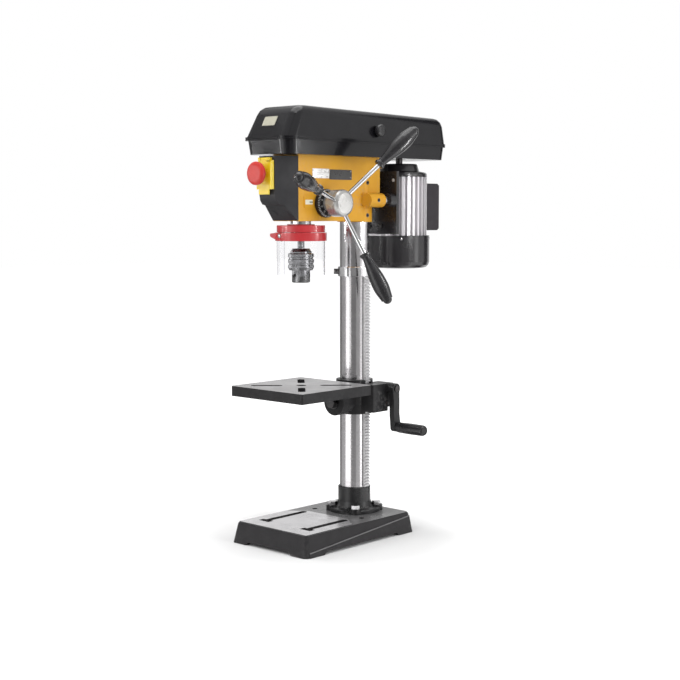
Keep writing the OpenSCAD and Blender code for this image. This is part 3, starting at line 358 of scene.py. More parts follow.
mottle_group, given, put = new_group(
    "paint_mottle",
    [("Vector", "NodeSocketVector", (0, 0, 0)), ("Colour", "NodeSocketColor", GREY),
     ("Tint", "NodeSocketColor", GREY), ("Scale", "NodeSocketFloat", 60.0),
     ("Amount", "NodeSocketFloat", 0.4)],
    [("Colour", "NodeSocketColor"), ("Smear", "NodeSocketFloat")])
cloud = spread(mottle_group, noise(mottle_group, given["Vector"], given["Scale"], 5.0), 0.35, 0.68)
mottle_group.links.new(blend_colour(mottle_group, calc(mottle_group, "MULTIPLY", cloud, given["Amount"]),
                                    given["Colour"], given["Tint"]), put["Colour"])
mottle_group.links.new(noise(mottle_group, given["Vector"],
                             calc(mottle_group, "MULTIPLY", given["Scale"], 0.45), 3.0), put["Smear"])

grain_group, given, put = new_group(
    "cast_grain", [("Vector", "NodeSocketVector", (0, 0, 0)), ("Scale", "NodeSocketFloat", 900.0)],
    [("Height", "NodeSocketFloat")])
fine = noise(grain_group, given["Vector"], given["Scale"], 3.0)
coarse = noise(grain_group, given["Vector"], calc(grain_group, "MULTIPLY", given["Scale"], 0.2), 2.0)
coarse_part = calc(grain_group, "MULTIPLY", coarse, 0.7)
grain_group.links.new(calc(grain_group, "ADD", fine, coarse_part), put["Height"])

lines_group, given, put = new_group(
    "tool_lines",
    [("Vector", "NodeSocketVector", (0, 0, 0)), ("Stretch", "NodeSocketVector", (1, 1, 1)),
     ("Scale", "NodeSocketFloat", 400.0)],
    [("Height", "NodeSocketFloat"), ("Streak", "NodeSocketFloat")])
pulled = vector_step(lines_group, "MULTIPLY", given["Vector"], given["Stretch"])["Vector"]
wide_scale = calc(lines_group, "MULTIPLY", given["Scale"], 0.23)
lines_group.links.new(noise(lines_group, pulled, given["Scale"], 4.0), put["Height"])
lines_group.links.new(noise(lines_group, pulled, wide_scale, 2.0), put["Streak"])

wear_group, given, put = new_group(
    "rubbed_edges",
    [("Vector", "NodeSocketVector", (0, 0, 0)), ("Colour", "NodeSocketColor", GREY),
     ("Bare", "NodeSocketColor", GREY), ("Amount", "NodeSocketFloat", 0.5)],
    [("Colour", "NodeSocketColor"), ("Mask", "NodeSocketFloat")])
form = wear_group.nodes.new("ShaderNodeNewGeometry")
ridge = spread(wear_group, form.outputs["Pointiness"], 0.53, 0.63)
patchy = spread(wear_group, noise(wear_group, given["Vector"], 140.0, 4.0), 0.42, 0.62)
rubbed = calc(wear_group, "MULTIPLY", calc(wear_group, "MULTIPLY", ridge, patchy), given["Amount"])
wear_group.links.new(blend_colour(wear_group, rubbed, given["Colour"], given["Bare"]), put["Colour"])
wear_group.links.new(rubbed, put["Mask"])

top_group, given, put = new_group(
    "ground_and_lit_top", [("Vector", "NodeSocketVector", (0, 0, 0)), ("Height", "NodeSocketFloat", 0.0)],
    [("Mask", "NodeSocketFloat")])
facing = top_group.nodes.new("ShaderNodeTexCoord").outputs["Normal"]
place_z = step(top_group, "ShaderNodeSeparateXYZ", Vector=given["Vector"]).outputs["Z"]
facing_z = step(top_group, "ShaderNodeSeparateXYZ", Vector=facing).outputs["Z"]
above = calc(top_group, "GREATER_THAN", place_z, given["Height"])
level_face = calc(top_group, "GREATER_THAN", facing_z, 0.9)
top_group.links.new(calc(top_group, "MULTIPLY", above, level_face), put["Mask"])
print("effects", [g.name for g in bpy.data.node_groups if g.bl_idname == "ShaderNodeTree"])

# %% [markdown]
# One recipe builds every finish. It starts from a colour and a roughness, then adds mottling, cast
# grain, tool lines and rubbed edges where the real surface has them. Values that are the same all
# over stay on the shader's own sockets.

# %% The recipe for a finish
def place_group(tree, group, **inputs):
    node = tree.nodes.new("ShaderNodeGroup")
    node.node_tree = group
    for label, setting in inputs.items():
        feed(tree, node.inputs[label], setting)
    return node.outputs


def finish(name, colour, roughness, mottle, metallic=0.0, coat=0.0, grain=None, lines=None, wear=None,
           spec=0.5, rough_span=0.08, anisotropic=0.0):
    made, tree, shader = new_material(name, Metallic=metallic, Coat_Weight=coat, Coat_Roughness=0.06,
                                      Specular_IOR_Level=spec, Anisotropic=anisotropic)
    where = tree.nodes.new("ShaderNodeTexCoord").outputs["Object"]
    tint, scale, amount = mottle
    painted = place_group(tree, mottle_group, Vector=where, Colour=rgba(colour), Tint=rgba(tint), Scale=scale,
                          Amount=amount)
    colour_out = painted["Colour"]
    rough_out = spread(tree, painted["Smear"], 0.3, 0.7, max(roughness - rough_span, 0.02),
                       roughness + rough_span)
    height = None
    if grain:
        height = place_group(tree, grain_group, Vector=where, Scale=grain[0])["Height"]
        depth = grain[1]
    if lines:
        drawn = place_group(tree, lines_group, Vector=where, Stretch=lines[0], Scale=lines[1])
        height = drawn["Height"]
        depth = lines[2]
        streak = spread(tree, drawn["Streak"], 0.35, 0.65, -0.06, 0.06)
        rough_out = calc(tree, "ADD", rough_out, streak)
    if wear:
        worn = place_group(tree, wear_group, Vector=where, Colour=colour_out, Bare=rgba(wear[0]),
                           Amount=wear[1])
        colour_out = worn["Colour"]
        if metallic == 0.0:
            feed(tree, shader.inputs["Metallic"], worn["Mask"])
    if height is not None:
        bump = step(tree, "ShaderNodeBump", Strength=0.5, Distance=depth * MM, Height=height)
        feed(tree, shader.inputs["Normal"], bump.outputs["Normal"])
    feed(tree, shader.inputs["Base Color"], colour_out)
    feed(tree, shader.inputs["Roughness"], rough_out)
    return made


# %% [markdown]
# The finishes, in a maker's words. Paint on castings has a sand grain under it and rubs to bare iron
# at the edges. Plastic is smooth and shiny with a faint orange peel. Steel is ground round the
# column, turned on the chuck and plated on the spokes.

# %% Paints, plastics and metals
IRON = (0.32, 0.31, 0.31)
ROUND_LINES = (0.04, 0.04, 1.0)
UP_LINES = (1.0, 1.0, 0.02)
amber_paint = finish("amber_paint", (0.66, 0.335, 0.026), 0.4, spec=0.22,
                     mottle=((0.57, 0.265, 0.017), 18.0, 0.45), grain=(520.0, 0.25), wear=(IRON, 0.25))
lid_paint = finish("lid_paint", (0.005, 0.0047, 0.006), 0.2, coat=0.15, spec=0.24,
                   mottle=((0.008, 0.0076, 0.0095), 25.0, 0.6), grain=(1500.0, 0.05), rough_span=0.05)
black_paint = finish("black_paint", (0.016, 0.0148, 0.0165), 0.24, coat=0.1, spec=0.5,
                     mottle=((0.022, 0.0205, 0.0225), 30.0, 0.6), grain=(900.0, 0.06), rough_span=0.05)
flange_paint = finish("flange_paint", (0.012, 0.0118, 0.0125), 0.3, spec=0.45,
                      mottle=((0.018, 0.0175, 0.0185), 30.0, 0.6), grain=(600.0, 0.15), wear=(IRON, 0.25))
black_casting = finish("black_casting", (0.013, 0.0127, 0.0137), 0.4, spec=0.25,
                       mottle=((0.021, 0.0205, 0.021), 35.0, 0.6), grain=(480.0, 0.3), wear=(IRON, 0.3))
housing_plastic = finish("housing_plastic", (0.02, 0.0195, 0.0215), 0.5, spec=0.25,
                         mottle=((0.027, 0.026, 0.0285), 40.0, 0.6), grain=(1300.0, 0.12))
grip_plastic = finish("grip_plastic", (0.015, 0.0145, 0.0158), 0.25, coat=0.15, spec=0.4,
                      mottle=((0.021, 0.02, 0.0218), 60.0, 0.6), grain=(1200.0, 0.05), rough_span=0.06)
black_plastic = finish("black_plastic", (0.011, 0.0108, 0.0117), 0.3, spec=0.3,
                       mottle=((0.018, 0.0175, 0.0185), 60.0, 0.6), grain=(1400.0, 0.08))
box_plastic = finish("box_plastic", (0.032, 0.028, 0.033), 0.42, spec=0.25,
                     mottle=((0.041, 0.037, 0.042), 50.0, 0.6), grain=(1400.0, 0.1))
red_plastic = finish("red_plastic", (0.46, 0.032, 0.038), 0.22, coat=0.15, spec=0.4,
                     mottle=((0.38, 0.022, 0.028), 40.0, 0.5), grain=(900.0, 0.05), rough_span=0.05)
stop_red = finish("stop_red", (0.52, 0.04, 0.032), 0.36, spec=0.2,
                  mottle=((0.44, 0.028, 0.022), 60.0, 0.5), grain=(1100.0, 0.06))
yellow_plastic = finish("yellow_plastic", (0.74, 0.55, 0.011), 0.34, spec=0.4,
                        mottle=((0.66, 0.47, 0.007), 50.0, 0.5), grain=(1100.0, 0.06))
green_plastic = finish("green_plastic", (0.03, 0.3, 0.07), 0.3, mottle=((0.02, 0.24, 0.05), 60.0, 0.5),
                       grain=(1100.0, 0.05))
column_steel = finish("column_steel", (0.6, 0.585, 0.595), 0.16, metallic=1.0,
                      mottle=((0.52, 0.5, 0.51), 12.0, 0.5), lines=(ROUND_LINES, 900.0, 0.012),
                      rough_span=0.05, anisotropic=0.35)
ground_steel = finish("ground_steel", (0.55, 0.545, 0.55), 0.24, metallic=1.0,
                      mottle=((0.45, 0.44, 0.45), 60.0, 0.5), lines=(ROUND_LINES, 900.0, 0.03))
chuck_steel = finish("chuck_steel", (0.2, 0.2, 0.204), 0.32, metallic=1.0,
                     mottle=((0.16, 0.16, 0.163), 80.0, 0.5), lines=(ROUND_LINES, 1400.0, 0.02),
                     wear=((0.34, 0.34, 0.34), 0.2))
dark_steel = finish("dark_steel", (0.05, 0.046, 0.048), 0.36, metallic=1.0,
                    mottle=((0.08, 0.075, 0.075), 90.0, 0.6), grain=(1500.0, 0.05),
                    wear=((0.4, 0.4, 0.4), 0.5))
chrome = finish("chrome", (0.68, 0.68, 0.69), 0.11, metallic=1.0, mottle=((0.6, 0.6, 0.61), 50.0, 0.4),
                lines=(UP_LINES, 500.0, 0.006), rough_span=0.03)
hub_alloy = finish("hub_alloy", (0.4, 0.395, 0.385), 0.28, metallic=0.7,
                   mottle=((0.36, 0.355, 0.345), 30.0, 0.5), grain=(900.0, 0.02))
bright_alloy = finish("bright_alloy", (0.68, 0.67, 0.68), 0.3, metallic=1.0,
                      mottle=((0.58, 0.57, 0.58), 60.0, 0.5), grain=(700.0, 0.1))
motor_alloy = finish("motor_alloy", (0.66, 0.64, 0.66), 0.42, metallic=0.55,
                     mottle=((0.6, 0.58, 0.6), 30.0, 0.5), lines=(UP_LINES, 700.0, 0.02))
ring_steel = finish("ring_steel", (0.78, 0.77, 0.78), 0.13, metallic=1.0,
                    mottle=((0.7, 0.69, 0.7), 40.0, 0.5), lines=(ROUND_LINES, 800.0, 0.01),
                    rough_span=0.04)
rack_steel = finish("rack_steel", (0.58, 0.575, 0.58), 0.42, metallic=0.5,
                    mottle=((0.5, 0.49, 0.5), 60.0, 0.5), grain=(900.0, 0.05))
bolt_steel = finish("bolt_steel", (0.08, 0.078, 0.08), 0.35, metallic=1.0,
                    mottle=((0.12, 0.115, 0.115), 90.0, 0.6), grain=(1300.0, 0.05))
belt_rubber = finish("belt_rubber", (0.016, 0.016, 0.017), 0.75, mottle=((0.03, 0.03, 0.03), 80.0, 0.6),
                     grain=(1600.0, 0.1))
copper_core = finish("copper_core", (0.3, 0.11, 0.035), 0.4, metallic=0.6,
                     mottle=((0.2, 0.08, 0.03), 90.0, 0.6), lines=(ROUND_LINES, 700.0, 0.2))
plate_silver = finish("plate_silver", (0.62, 0.615, 0.6), 0.34, metallic=0.7,
                      mottle=((0.55, 0.54, 0.52), 80.0, 0.5), lines=((0.05, 0.05, 1.0), 900.0, 0.01))
plate_cream = finish("plate_cream", (0.78, 0.75, 0.62), 0.36, mottle=((0.68, 0.65, 0.52), 90.0, 0.6),
                     grain=(1200.0, 0.03))
plate_tan = finish("plate_tan", (0.43, 0.415, 0.33), 0.36, mottle=((0.36, 0.345, 0.27), 90.0, 0.6),
                   grain=(1200.0, 0.03))
plate_dark = finish("plate_dark", (0.017, 0.0165, 0.017), 0.32, coat=0.2,
                    mottle=((0.028, 0.027, 0.027), 80.0, 0.6), grain=(1500.0, 0.03))
# pale grey for the base beads: a painted highlight along the ridge's top edge
bead_highlight_paint = finish("bead_highlight_paint", (0.14, 0.137, 0.14), 0.4, mottle=((0.1, 0.098, 0.1), 60.0, 0.6),
                    grain=(700.0, 0.1))
mark_white = finish("mark_white", (0.8, 0.8, 0.79), 0.5, mottle=((0.7, 0.7, 0.69), 200.0, 0.4))
print("finishes", len(bpy.data.materials))

# %% [markdown]
# The base and the table are castings with a machined face on top. The paint stops where the grinder
# passed, so one material holds both: a mask picks what lies above the machined height and faces up,
# and mixes painted iron with ground iron there. On the base a second mask paints the upward faces
# above a lower height a lighter grey and a little smoother: a painted highlight for the light that
# falls on the top of the casting. The clear shield is a plain glass whose tint deepens
# on the cut edges, where light has run a long way through the plastic.

# %% Castings with a ground face, and the clear shield
# lighter grey for the base's upper faces: painted light from above, not rubbed paint
LIT_TOP_PAINT = (0.12, 0.118, 0.12)


def ground_casting(name, height_mm, paint_colour, bare_colour, stretch, lit_top_mm=None):
    made = finish(name, paint_colour, 0.46, spec=0.2, mottle=(scaled(paint_colour, 1.4), 30.0, 0.6),
                  grain=(420.0, 0.35), wear=(IRON, 0.3))
    tree = made.node_tree
    shader = tree.nodes["Principled BSDF"]
    where = [n for n in tree.nodes if n.bl_idname == "ShaderNodeTexCoord"][0].outputs["Object"]
    paint_in, rough_in, metal_in = [shader.inputs[label].links[0].from_socket
                                    for label in ("Base Color", "Roughness", "Metallic")]
    # painted light: upward faces above this height turn lighter grey, for the top of the casting catching
    # light
    if lit_top_mm:
        lit_top = place_group(tree, top_group, Vector=where, Height=lit_top_mm * MM)["Mask"]
        paint_in = blend_colour(tree, lit_top, paint_in, rgba(LIT_TOP_PAINT))
        rough_in = calc(tree, "SUBTRACT", rough_in, calc(tree, "MULTIPLY", lit_top, 0.16))
    ground = place_group(tree, mottle_group, Vector=where, Colour=rgba(bare_colour),
                         Tint=rgba(scaled(bare_colour, 0.72)), Scale=26.0, Amount=0.5)
    drawn = place_group(tree, lines_group, Vector=where, Stretch=stretch, Scale=650.0)
    streaked = calc(tree, "MULTIPLY", spread(tree, drawn["Streak"], 0.3, 0.7), 0.25)
    ground_colour = blend_colour(tree, streaked, ground["Colour"], rgba(scaled(bare_colour, 1.25)))
    mask = place_group(tree, top_group, Vector=where, Height=height_mm * MM)["Mask"]
    ground_metal = calc(tree, "MAXIMUM", metal_in, calc(tree, "MULTIPLY", mask, 0.55))
    ground_rough = calc(tree, "SUBTRACT", rough_in, calc(tree, "MULTIPLY", mask, 0.08))
    feed(tree, shader.inputs["Base Color"], blend_colour(tree, mask, paint_in, ground_colour))
    feed(tree, shader.inputs["Metallic"], ground_metal)
    feed(tree, shader.inputs["Roughness"], ground_rough)
    return made


base_iron = ground_casting("base_iron", 41.6, (0.021, 0.02, 0.0212), (0.52, 0.51, 0.52), (0.03, 1.0, 1.0),
                           lit_top_mm=36.0)
table_iron = ground_casting("table_iron", 312.6, (0.016, 0.0155, 0.0163), (0.35, 0.345, 0.35),
                            (1.0, 0.03, 1.0))

GUARD_AXIS = at(0, -155, 0)
SHIELD_TINT = (0.945, 0.945, 0.955)
SHIELD_EDGE = (0.3, 0.3, 0.32)
clear_plastic, clear, clear_shader = new_material("clear_plastic", Transmission_Weight=1.0, IOR=1.2)
clear_spot = clear.nodes.new("ShaderNodeTexCoord").outputs
clear_smear = place_group(clear, mottle_group, Vector=clear_spot["Object"], Scale=30.0)["Smear"]
feed(clear, clear_shader.inputs["Roughness"], spread(clear, clear_smear, 0.3, 0.7, 0.01, 0.06))
from_axis = vector_step(clear, "SUBTRACT", clear_spot["Object"], GUARD_AXIS)["Vector"]
level_way = vector_step(clear, "MULTIPLY", from_axis, (1.0, 1.0, 0.0))["Vector"]
outward_way = vector_step(clear, "NORMALIZE", level_way)["Vector"]
facing_out = vector_step(clear, "DOT_PRODUCT", outward_way, clear_spot["Normal"])["Value"]
clear_edge = spread(clear, calc(clear, "ABSOLUTE", facing_out), 0.3, 0.7, 1.0, 0.0)
feed(clear, clear_shader.inputs["Base Color"],
     blend_colour(clear, clear_edge, rgba(SHIELD_TINT), rgba(SHIELD_EDGE)))
print("ground faces and clear shield ready")

# %% [markdown]
# Real castings and mouldings have no knife edges. For the pieces that show, a copy of the CAD mesh
# is welded, its flat faces are joined, and a Bevel modifier rounds each edge, with weighted normals
# to keep the flats flat. The copy stands for the node, which stays in the simulation.

# %% Rounded copies of the solids
BODY_OF = {}
for body_name, members in frame["record"]["behaviour"]["bodies"].items():
    for member in members:
        BODY_OF[member] = body_name
SLOT_OF = {}
for row in frame["record"]["subparts"]:
    SLOT_OF[row["node"]] = row["material_slot"]


def plain_mesh(made, name):
    graph = bpy.context.evaluated_depsgraph_get()
    graph.update()
    mesh = bpy.data.meshes.new_from_object(made.evaluated_get(graph))
    mesh.name = name
    made.modifiers.clear()
    made.data = mesh


WELD = 0.015 * MM
SLIVER = 0.005 * MM
FLAT_ANGLE = math.radians(0.6)
EDGE_ANGLE = math.radians(34.0)


def rounded(node, material, radius_mm):
    mesh = frame["nodes"][node].data.copy()
    if "custom_normal" in mesh.attributes:
        mesh.attributes.remove(mesh.attributes["custom_normal"])
    work = bmesh.new()
    work.from_mesh(mesh)
    bmesh.ops.remove_doubles(work, verts=work.verts, dist=WELD)
    bmesh.ops.dissolve_degenerate(work, edges=work.edges, dist=SLIVER)
    bmesh.ops.dissolve_limit(work, angle_limit=FLAT_ANGLE, verts=work.verts, edges=work.edges)
    work.to_mesh(mesh)
    work.free()
    for polygon in mesh.polygons:
        polygon.use_smooth = True
    mesh.materials.clear()
    mesh.materials.append(material)
    made = linked(node + "_rounded", mesh)
    bevel = made.modifiers.new("edge", "BEVEL")
    bevel.width = radius_mm * MM
    bevel.segments = 2
    bevel.limit_method = "ANGLE"
    bevel.angle_limit = EDGE_ANGLE
    bevel.use_clamp_overlap = True
    steady = made.modifiers.new("flats", "WEIGHTED_NORMAL")
    steady.keep_sharp = True
    plain_mesh(made, node + "_rounded")
    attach(made, BODY_OF[node])
    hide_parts(node)
    return made


ROUNDED = {
    "base": (base_iron, 1.6), "column_flange": (flange_paint, 0.8), "head_casting": (amber_paint, 1.4),
    "front_housing": (housing_plastic, 1.6), "switch_box": (yellow_plastic, 1.2),
    "switch_flap": (yellow_plastic, 1.4), "cover_pan": (lid_paint, 1.0), "cover_lid": (lid_paint, 1.2),
    "table": (table_iron, 1.0), "table_bracket": (black_casting, 1.4), "motor_plate": (black_paint, 1.0),
    "motor_body": (motor_alloy, 0.6), "capacitor_box": (box_plastic, 1.2),
    "crank_arm": (black_plastic, 1.2), "guard_holder": (red_plastic, 0.6),
    "guard_band": (red_plastic, 0.6), "rack_ring": (ring_steel, 0.5), "lid_knob": (grip_plastic, 0.9),
}
for node, (material, radius) in ROUNDED.items():
    made = rounded(node, material, radius)
    print(node, len(made.data.polygons), "faces")

# %% [markdown]
# The grips are moulded sleeves that swell towards the outer end. Each copy is swelled about its own
# axis: the axis runs from the ring of points nearest the hub to the ring of points furthest from it,
# or along a given way, as on the crank. The growth eases in along that line, so that the collar keeps
# its size.

# %% Swelled grips
def islands(work):
    left = set(work.verts)
    while left:
        group = [left.pop()]
        for vert in group:
            for edge in vert.link_edges:
                other = edge.other_vert(vert)
                if other in left:
                    left.remove(other)
                    group.append(other)
        yield group


def middle_of(points):
    return sum(points, Vector()) / len(points)


def ease(value, low, high):
    t = min(max((value - low) / (high - low), 0.0), 1.0)
    return t * t * (3 - 2 * t)


def swelled(node, material, hub, growth, ease_in, ease_out, way=None):
    made = rounded(node, material, 0.3)
    work = bmesh.new()
    work.from_mesh(made.data)
    for group in islands(work):
        ordered = sorted(group, key=lambda vert: (vert.co - hub).length)
        ring = max(len(ordered) // 12, 3)
        start = middle_of([vert.co for vert in ordered[:ring]])
        end = middle_of([vert.co for vert in ordered[-ring:]])
        line = way or (end - start).normalized()
        for vert in group:
            along = (vert.co - start).dot(line)
            out = vert.co - start - line * along
            part = along / (end - start).length
            vert.co = vert.co + out * growth * ease(part, *ease_in) * (1 - ease(part, *ease_out))
    work.to_mesh(made.data)
    work.free()


dial_low, dial_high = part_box("depth_ring")
FEED_Y = ((dial_low.y + dial_high.y) / 2 - AXIS_Y) / MM
FEED_Z = (dial_low.z + dial_high.z) / 2 / MM
DIAL_FACE = (dial_high.x - AXIS_X) / MM
crank_low, crank_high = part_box("crank_grip")
swelled("feed_grips", grip_plastic, at(73, FEED_Y, FEED_Z), 0.24, (0.1, 0.5), (0.68, 0.96))
crank_foot = Vector((crank_low.x, (crank_low.y + crank_high.y) / 2, (crank_low.z + crank_high.z) / 2))
swelled("crank_grip", grip_plastic, crank_foot, 0.2, (-0.1, 0.15), (0.9, 1.1), Vector((1.0, 0.0, 0.0)))
SWELLED = ("feed_grips", "crank_grip")
print("swelled grips", SWELLED)

# %% [markdown]
# The other solids are turned parts, screws and hidden works. Their shape is right as it is, so they
# keep the CAD mesh and only get the finish.

# %% Finishes on the other nodes
PLAIN = {
    "flange_bolts": ground_steel, "column": column_steel, "set_screws": dark_steel,
    "cover_screws": dark_steel, "lid_hinge_pins": ground_steel, "sleeve_bearings": ground_steel,
    "spring_cup": black_paint, "return_spring": dark_steel, "drive_belt": belt_rubber,
    "cable_gland": black_plastic, "quill": ground_steel, "quill_bearings": ground_steel,
    "guard_hinge_pin": dark_steel, "guard_shield": clear_plastic, "spindle": chuck_steel,
    "chuck_body": chuck_steel, "chuck_sleeve": chuck_steel, "jaw_a": chuck_steel, "jaw_b": chuck_steel,
    "jaw_c": chuck_steel, "spindle_pulley": bright_alloy, "pinion_shaft": chuck_steel,
    "feed_hub": hub_alloy, "feed_spokes": chrome, "depth_ring": black_plastic, "slide_rods": ground_steel,
    "motor_top_bell": black_paint, "motor_lower_bell": black_paint, "motor_stator": copper_core,
    # the motor rotor's shaft takes dark steel as painted shade, for the shadow it stands in
    "motor_bearings": ground_steel, "motor_bolts": dark_steel, "motor_rotor": dark_steel,
    "motor_pulley": bright_alloy, "stop_button": stop_red, "start_button": green_plastic,
    "rack": rack_steel, "lock_lever": black_plastic, "table_pinion": ground_steel,
    "crank_shaft": dark_steel, "tilt_bolt": bolt_steel,
}
for node, material in PLAIN.items():
    frame["nodes"][node].data.materials.clear()
    frame["nodes"][node].data.materials.append(material)
left_over = [n for n in frame["nodes"] if n not in PLAIN and n not in ROUNDED and n not in SWELLED]
print("nodes without a finish", left_over)

# %% [markdown]
# The head carries bare plates on its right side, and the cover has one on its front slope. A plate
# is a thin sheet with round corners and a soft rim. It is drawn once in its own plane from a corner
# and two edge directions, then raised by its thickness, so it can lie on any flat. Two round plugs
# that close the screw recesses of the front housing are drawn the same way.

# %% Bare plates
def thin_plate(name, corner, across, up, thick_mm, round_mm, material, body, slot):
    width = across.length
    height = up.length
    u = across.normalized()
    v = up.normalized()
    n = u.cross(v)
    r = round_mm * MM
    outline = []
    for cx, cy, start in ((width - r, r, -90), (width - r, height - r, 0), (r, height - r, 90), (r, r, 180)):
        for part in range(6):
            a = math.radians(start + part * 18)
            outline.append(corner + u * (cx + r * math.cos(a)) + v * (cy + r * math.sin(a)))
    work = bmesh.new()
    face = work.faces.new([work.verts.new(p) for p in outline])
    raised = bmesh.ops.extrude_face_region(work, geom=[face])
    lifted = [g for g in raised["geom"] if isinstance(g, bmesh.types.BMVert)]
    bmesh.ops.translate(work, verts=lifted, vec=n * thick_mm * MM)
    top = [f for f in work.faces if all(vert in set(lifted) for vert in f.verts)]
    bmesh.ops.bevel(work, geom=list(top[0].edges), offset=thick_mm * 0.4 * MM, segments=2, affect="EDGES")
    bmesh.ops.recalc_face_normals(work, faces=work.faces)
    mesh = bpy.data.meshes.new(name)
    work.to_mesh(mesh)
    work.free()
    mesh.materials.append(material)
    made = linked(name, mesh)
    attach(made, body)


HEAD_SIDE = 34.0
PAD_TOP = HEAD_SIDE + 1.6
POINTER_TOP = HEAD_SIDE + 2.0
thin_plate("head_plate_pale", at(HEAD_SIDE, -158, 716.5), flat(0, 47, 0), flat(0, 0, 18.5), 0.6, 1.5,
           plate_silver, "frame", "bright_alloy")
thin_plate("head_plate_dark", at(HEAD_SIDE, -110.4, 714.5), flat(0, 64, 0), flat(0, 0, 19.5), 0.6, 1.5,
           plate_dark, "frame", "black_plastic")
thin_plate("pointer_pad", at(HEAD_SIDE, -182, 659), flat(0, 26, 0), flat(0, 0, 24), 1.6, 3.0,
           amber_paint, "frame", "amber_paint")
thin_plate("pointer_plate", at(PAD_TOP, -179, 666), flat(0, 20, 0), flat(0, 0, 9), 0.4, 1.0,
           plate_cream, "frame", "bright_alloy")
thin_plate("pointer_mark", at(POINTER_TOP, -168, 669.6), flat(0, 9, 0), flat(0, 0, 1.8), 0.2, 0.5,
           plate_dark, "frame", "black_plastic")
LID_FOOT = Vector((0.0, -253.0, 789.4))
SLOPE = (Vector((0.0, -227.0, 835.6)) - LID_FOOT).normalized()
SLOPE_OUT = Vector((0.0, -SLOPE.z, SLOPE.y))


def on_slope(x, up, lift):
    spot = LID_FOOT + SLOPE * up + SLOPE_OUT * lift
    return at(x, spot.y, spot.z)


thin_plate("lid_plate", on_slope(-21, 26, 0.0), flat(37, 0, 0), SLOPE * 23 * MM, 0.7, 2.5,
           plate_dark, "lid_body", "black_plastic")
thin_plate("lid_plate_field", on_slope(-19.4, 27.6, 0.6), flat(33.8, 0, 0), SLOPE * 19.8 * MM, 0.5, 1.8,
           plate_tan, "lid_body", "bright_alloy")
PLUG_R = 7.6
PLUG_Y = -210.6
PLUG_Z = 648
PLUG_UP = Vector((0.0, -0.695, 0.72))
for label, x in (("left", -16), ("right", 16)):
    plug_corner = at(x - PLUG_R, PLUG_Y, PLUG_Z) - PLUG_UP * PLUG_R * MM
    thin_plate("housing_plug_" + label, plug_corner, flat(2 * PLUG_R, 0, 0), PLUG_UP * 2 * PLUG_R * MM, 0.4,
               PLUG_R - 0.05, housing_plastic, "frame", SLOT_OF["front_housing"])
print("plates", len([o for o in scene.objects if "plate" in o.name or "pointer" in o.name]))

# %% [markdown]
# White ticks run round the slanted edge of the depth ring. They repeat by a rule, so a Geometry Nodes
# tree lays a small bar on each point of a circle, leans it to the slope and puts the ring in its
# place. The result is turned into a plain mesh, because the export drops instances.

# %% A tree that sets marks round a ring
def new_geometry_tree(name, inputs):
    tree = bpy.data.node_groups.new(name, "GeometryNodeTree")
    tree.interface.new_socket("Geometry", in_out="OUTPUT", socket_type="NodeSocketGeometry")
    tree.interface.new_socket("Geometry", in_out="INPUT", socket_type="NodeSocketGeometry")
    for label, kind in inputs:
        tree.interface.new_socket(label, in_out="INPUT", socket_type=kind)
    return tree, tree.nodes.new("NodeGroupInput").outputs, tree.nodes.new("NodeGroupOutput").inputs


def run_tree(name, tree, values, body, slot, base=None):
    made = linked(name, base or bpy.data.meshes.new(name))
    worker = made.modifiers.new("repeat", "NODES")
    worker.node_group = tree
    for item in tree.interface.items_tree:
        if item.item_type == "SOCKET" and item.in_out == "INPUT" and item.name in values:
            worker[item.identifier] = values[item.name]
    plain_mesh(made, name)
    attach(made, body)
    print(name, len(made.data.polygons), "faces")


def painted_output(tree, geometry, given, put):
    coloured = step(tree, "GeometryNodeSetMaterial", Geometry=geometry, Material=given["Material"])
    tree.links.new(coloured.outputs["Geometry"], put["Geometry"])


marks_tree, given, put = new_geometry_tree(
    "marks_round_a_ring",
    [("Count", "NodeSocketInt"), ("Radius", "NodeSocketFloat"), ("Size", "NodeSocketVector"),
     ("Lean", "NodeSocketVector"), ("Place", "NodeSocketVector"), ("Turn", "NodeSocketVector"),
     ("Material", "NodeSocketMaterial")])
ring = step(marks_tree, "GeometryNodeMeshCircle", Vertices=given["Count"], Radius=given["Radius"])
bar = step(marks_tree, "GeometryNodeMeshCube", Size=given["Size"])
leaning = step(marks_tree, "GeometryNodeTransform", Geometry=bar.outputs["Mesh"], Rotation=given["Lean"])
outward = step(marks_tree, "FunctionNodeAlignRotationToVector",
               Vector=marks_tree.nodes.new("GeometryNodeInputPosition").outputs["Position"])
outward.axis = "X"
outward.pivot_axis = "Z"
laid = step(marks_tree, "GeometryNodeInstanceOnPoints", Points=ring.outputs["Mesh"],
            Instance=leaning.outputs["Geometry"], Rotation=outward.outputs["Rotation"])
set_down = step(marks_tree, "GeometryNodeTransform", Geometry=laid.outputs["Instances"],
                Translation=given["Place"], Rotation=given["Turn"])
solid = step(marks_tree, "GeometryNodeRealizeInstances", Geometry=set_down.outputs["Geometry"])
painted_output(marks_tree, solid.outputs["Geometry"], given, put)

ALONG_X = (0.0, math.radians(90), 0.0)
run_tree("dial_ticks", marks_tree,
         {"Count": 50, "Radius": 25.55 * MM, "Size": flat(3.4, 0.5, 0.3),
          "Lean": (0.0, math.radians(45), 0.0), "Place": at(DIAL_FACE - 1.95, FEED_Y, FEED_Z),
          "Turn": ALONG_X, "Material": mark_white},
         "depth_ring_body", "black_plastic")
run_tree("dial_long_ticks", marks_tree,
         {"Count": 10, "Radius": 22.6 * MM, "Size": flat(1.6, 0.7, 0.3), "Lean": (0.0, 0.0, 0.0),
          "Place": at(DIAL_FACE, FEED_Y, FEED_Z), "Turn": ALONG_X, "Material": mark_white},
         "depth_ring_body", "black_plastic")

# %% [markdown]
# Plain numbers count the depth round the flat face of the ring. Each is a text curve made into a
# mesh, then stood with its foot towards the shaft. All of them join into one piece.

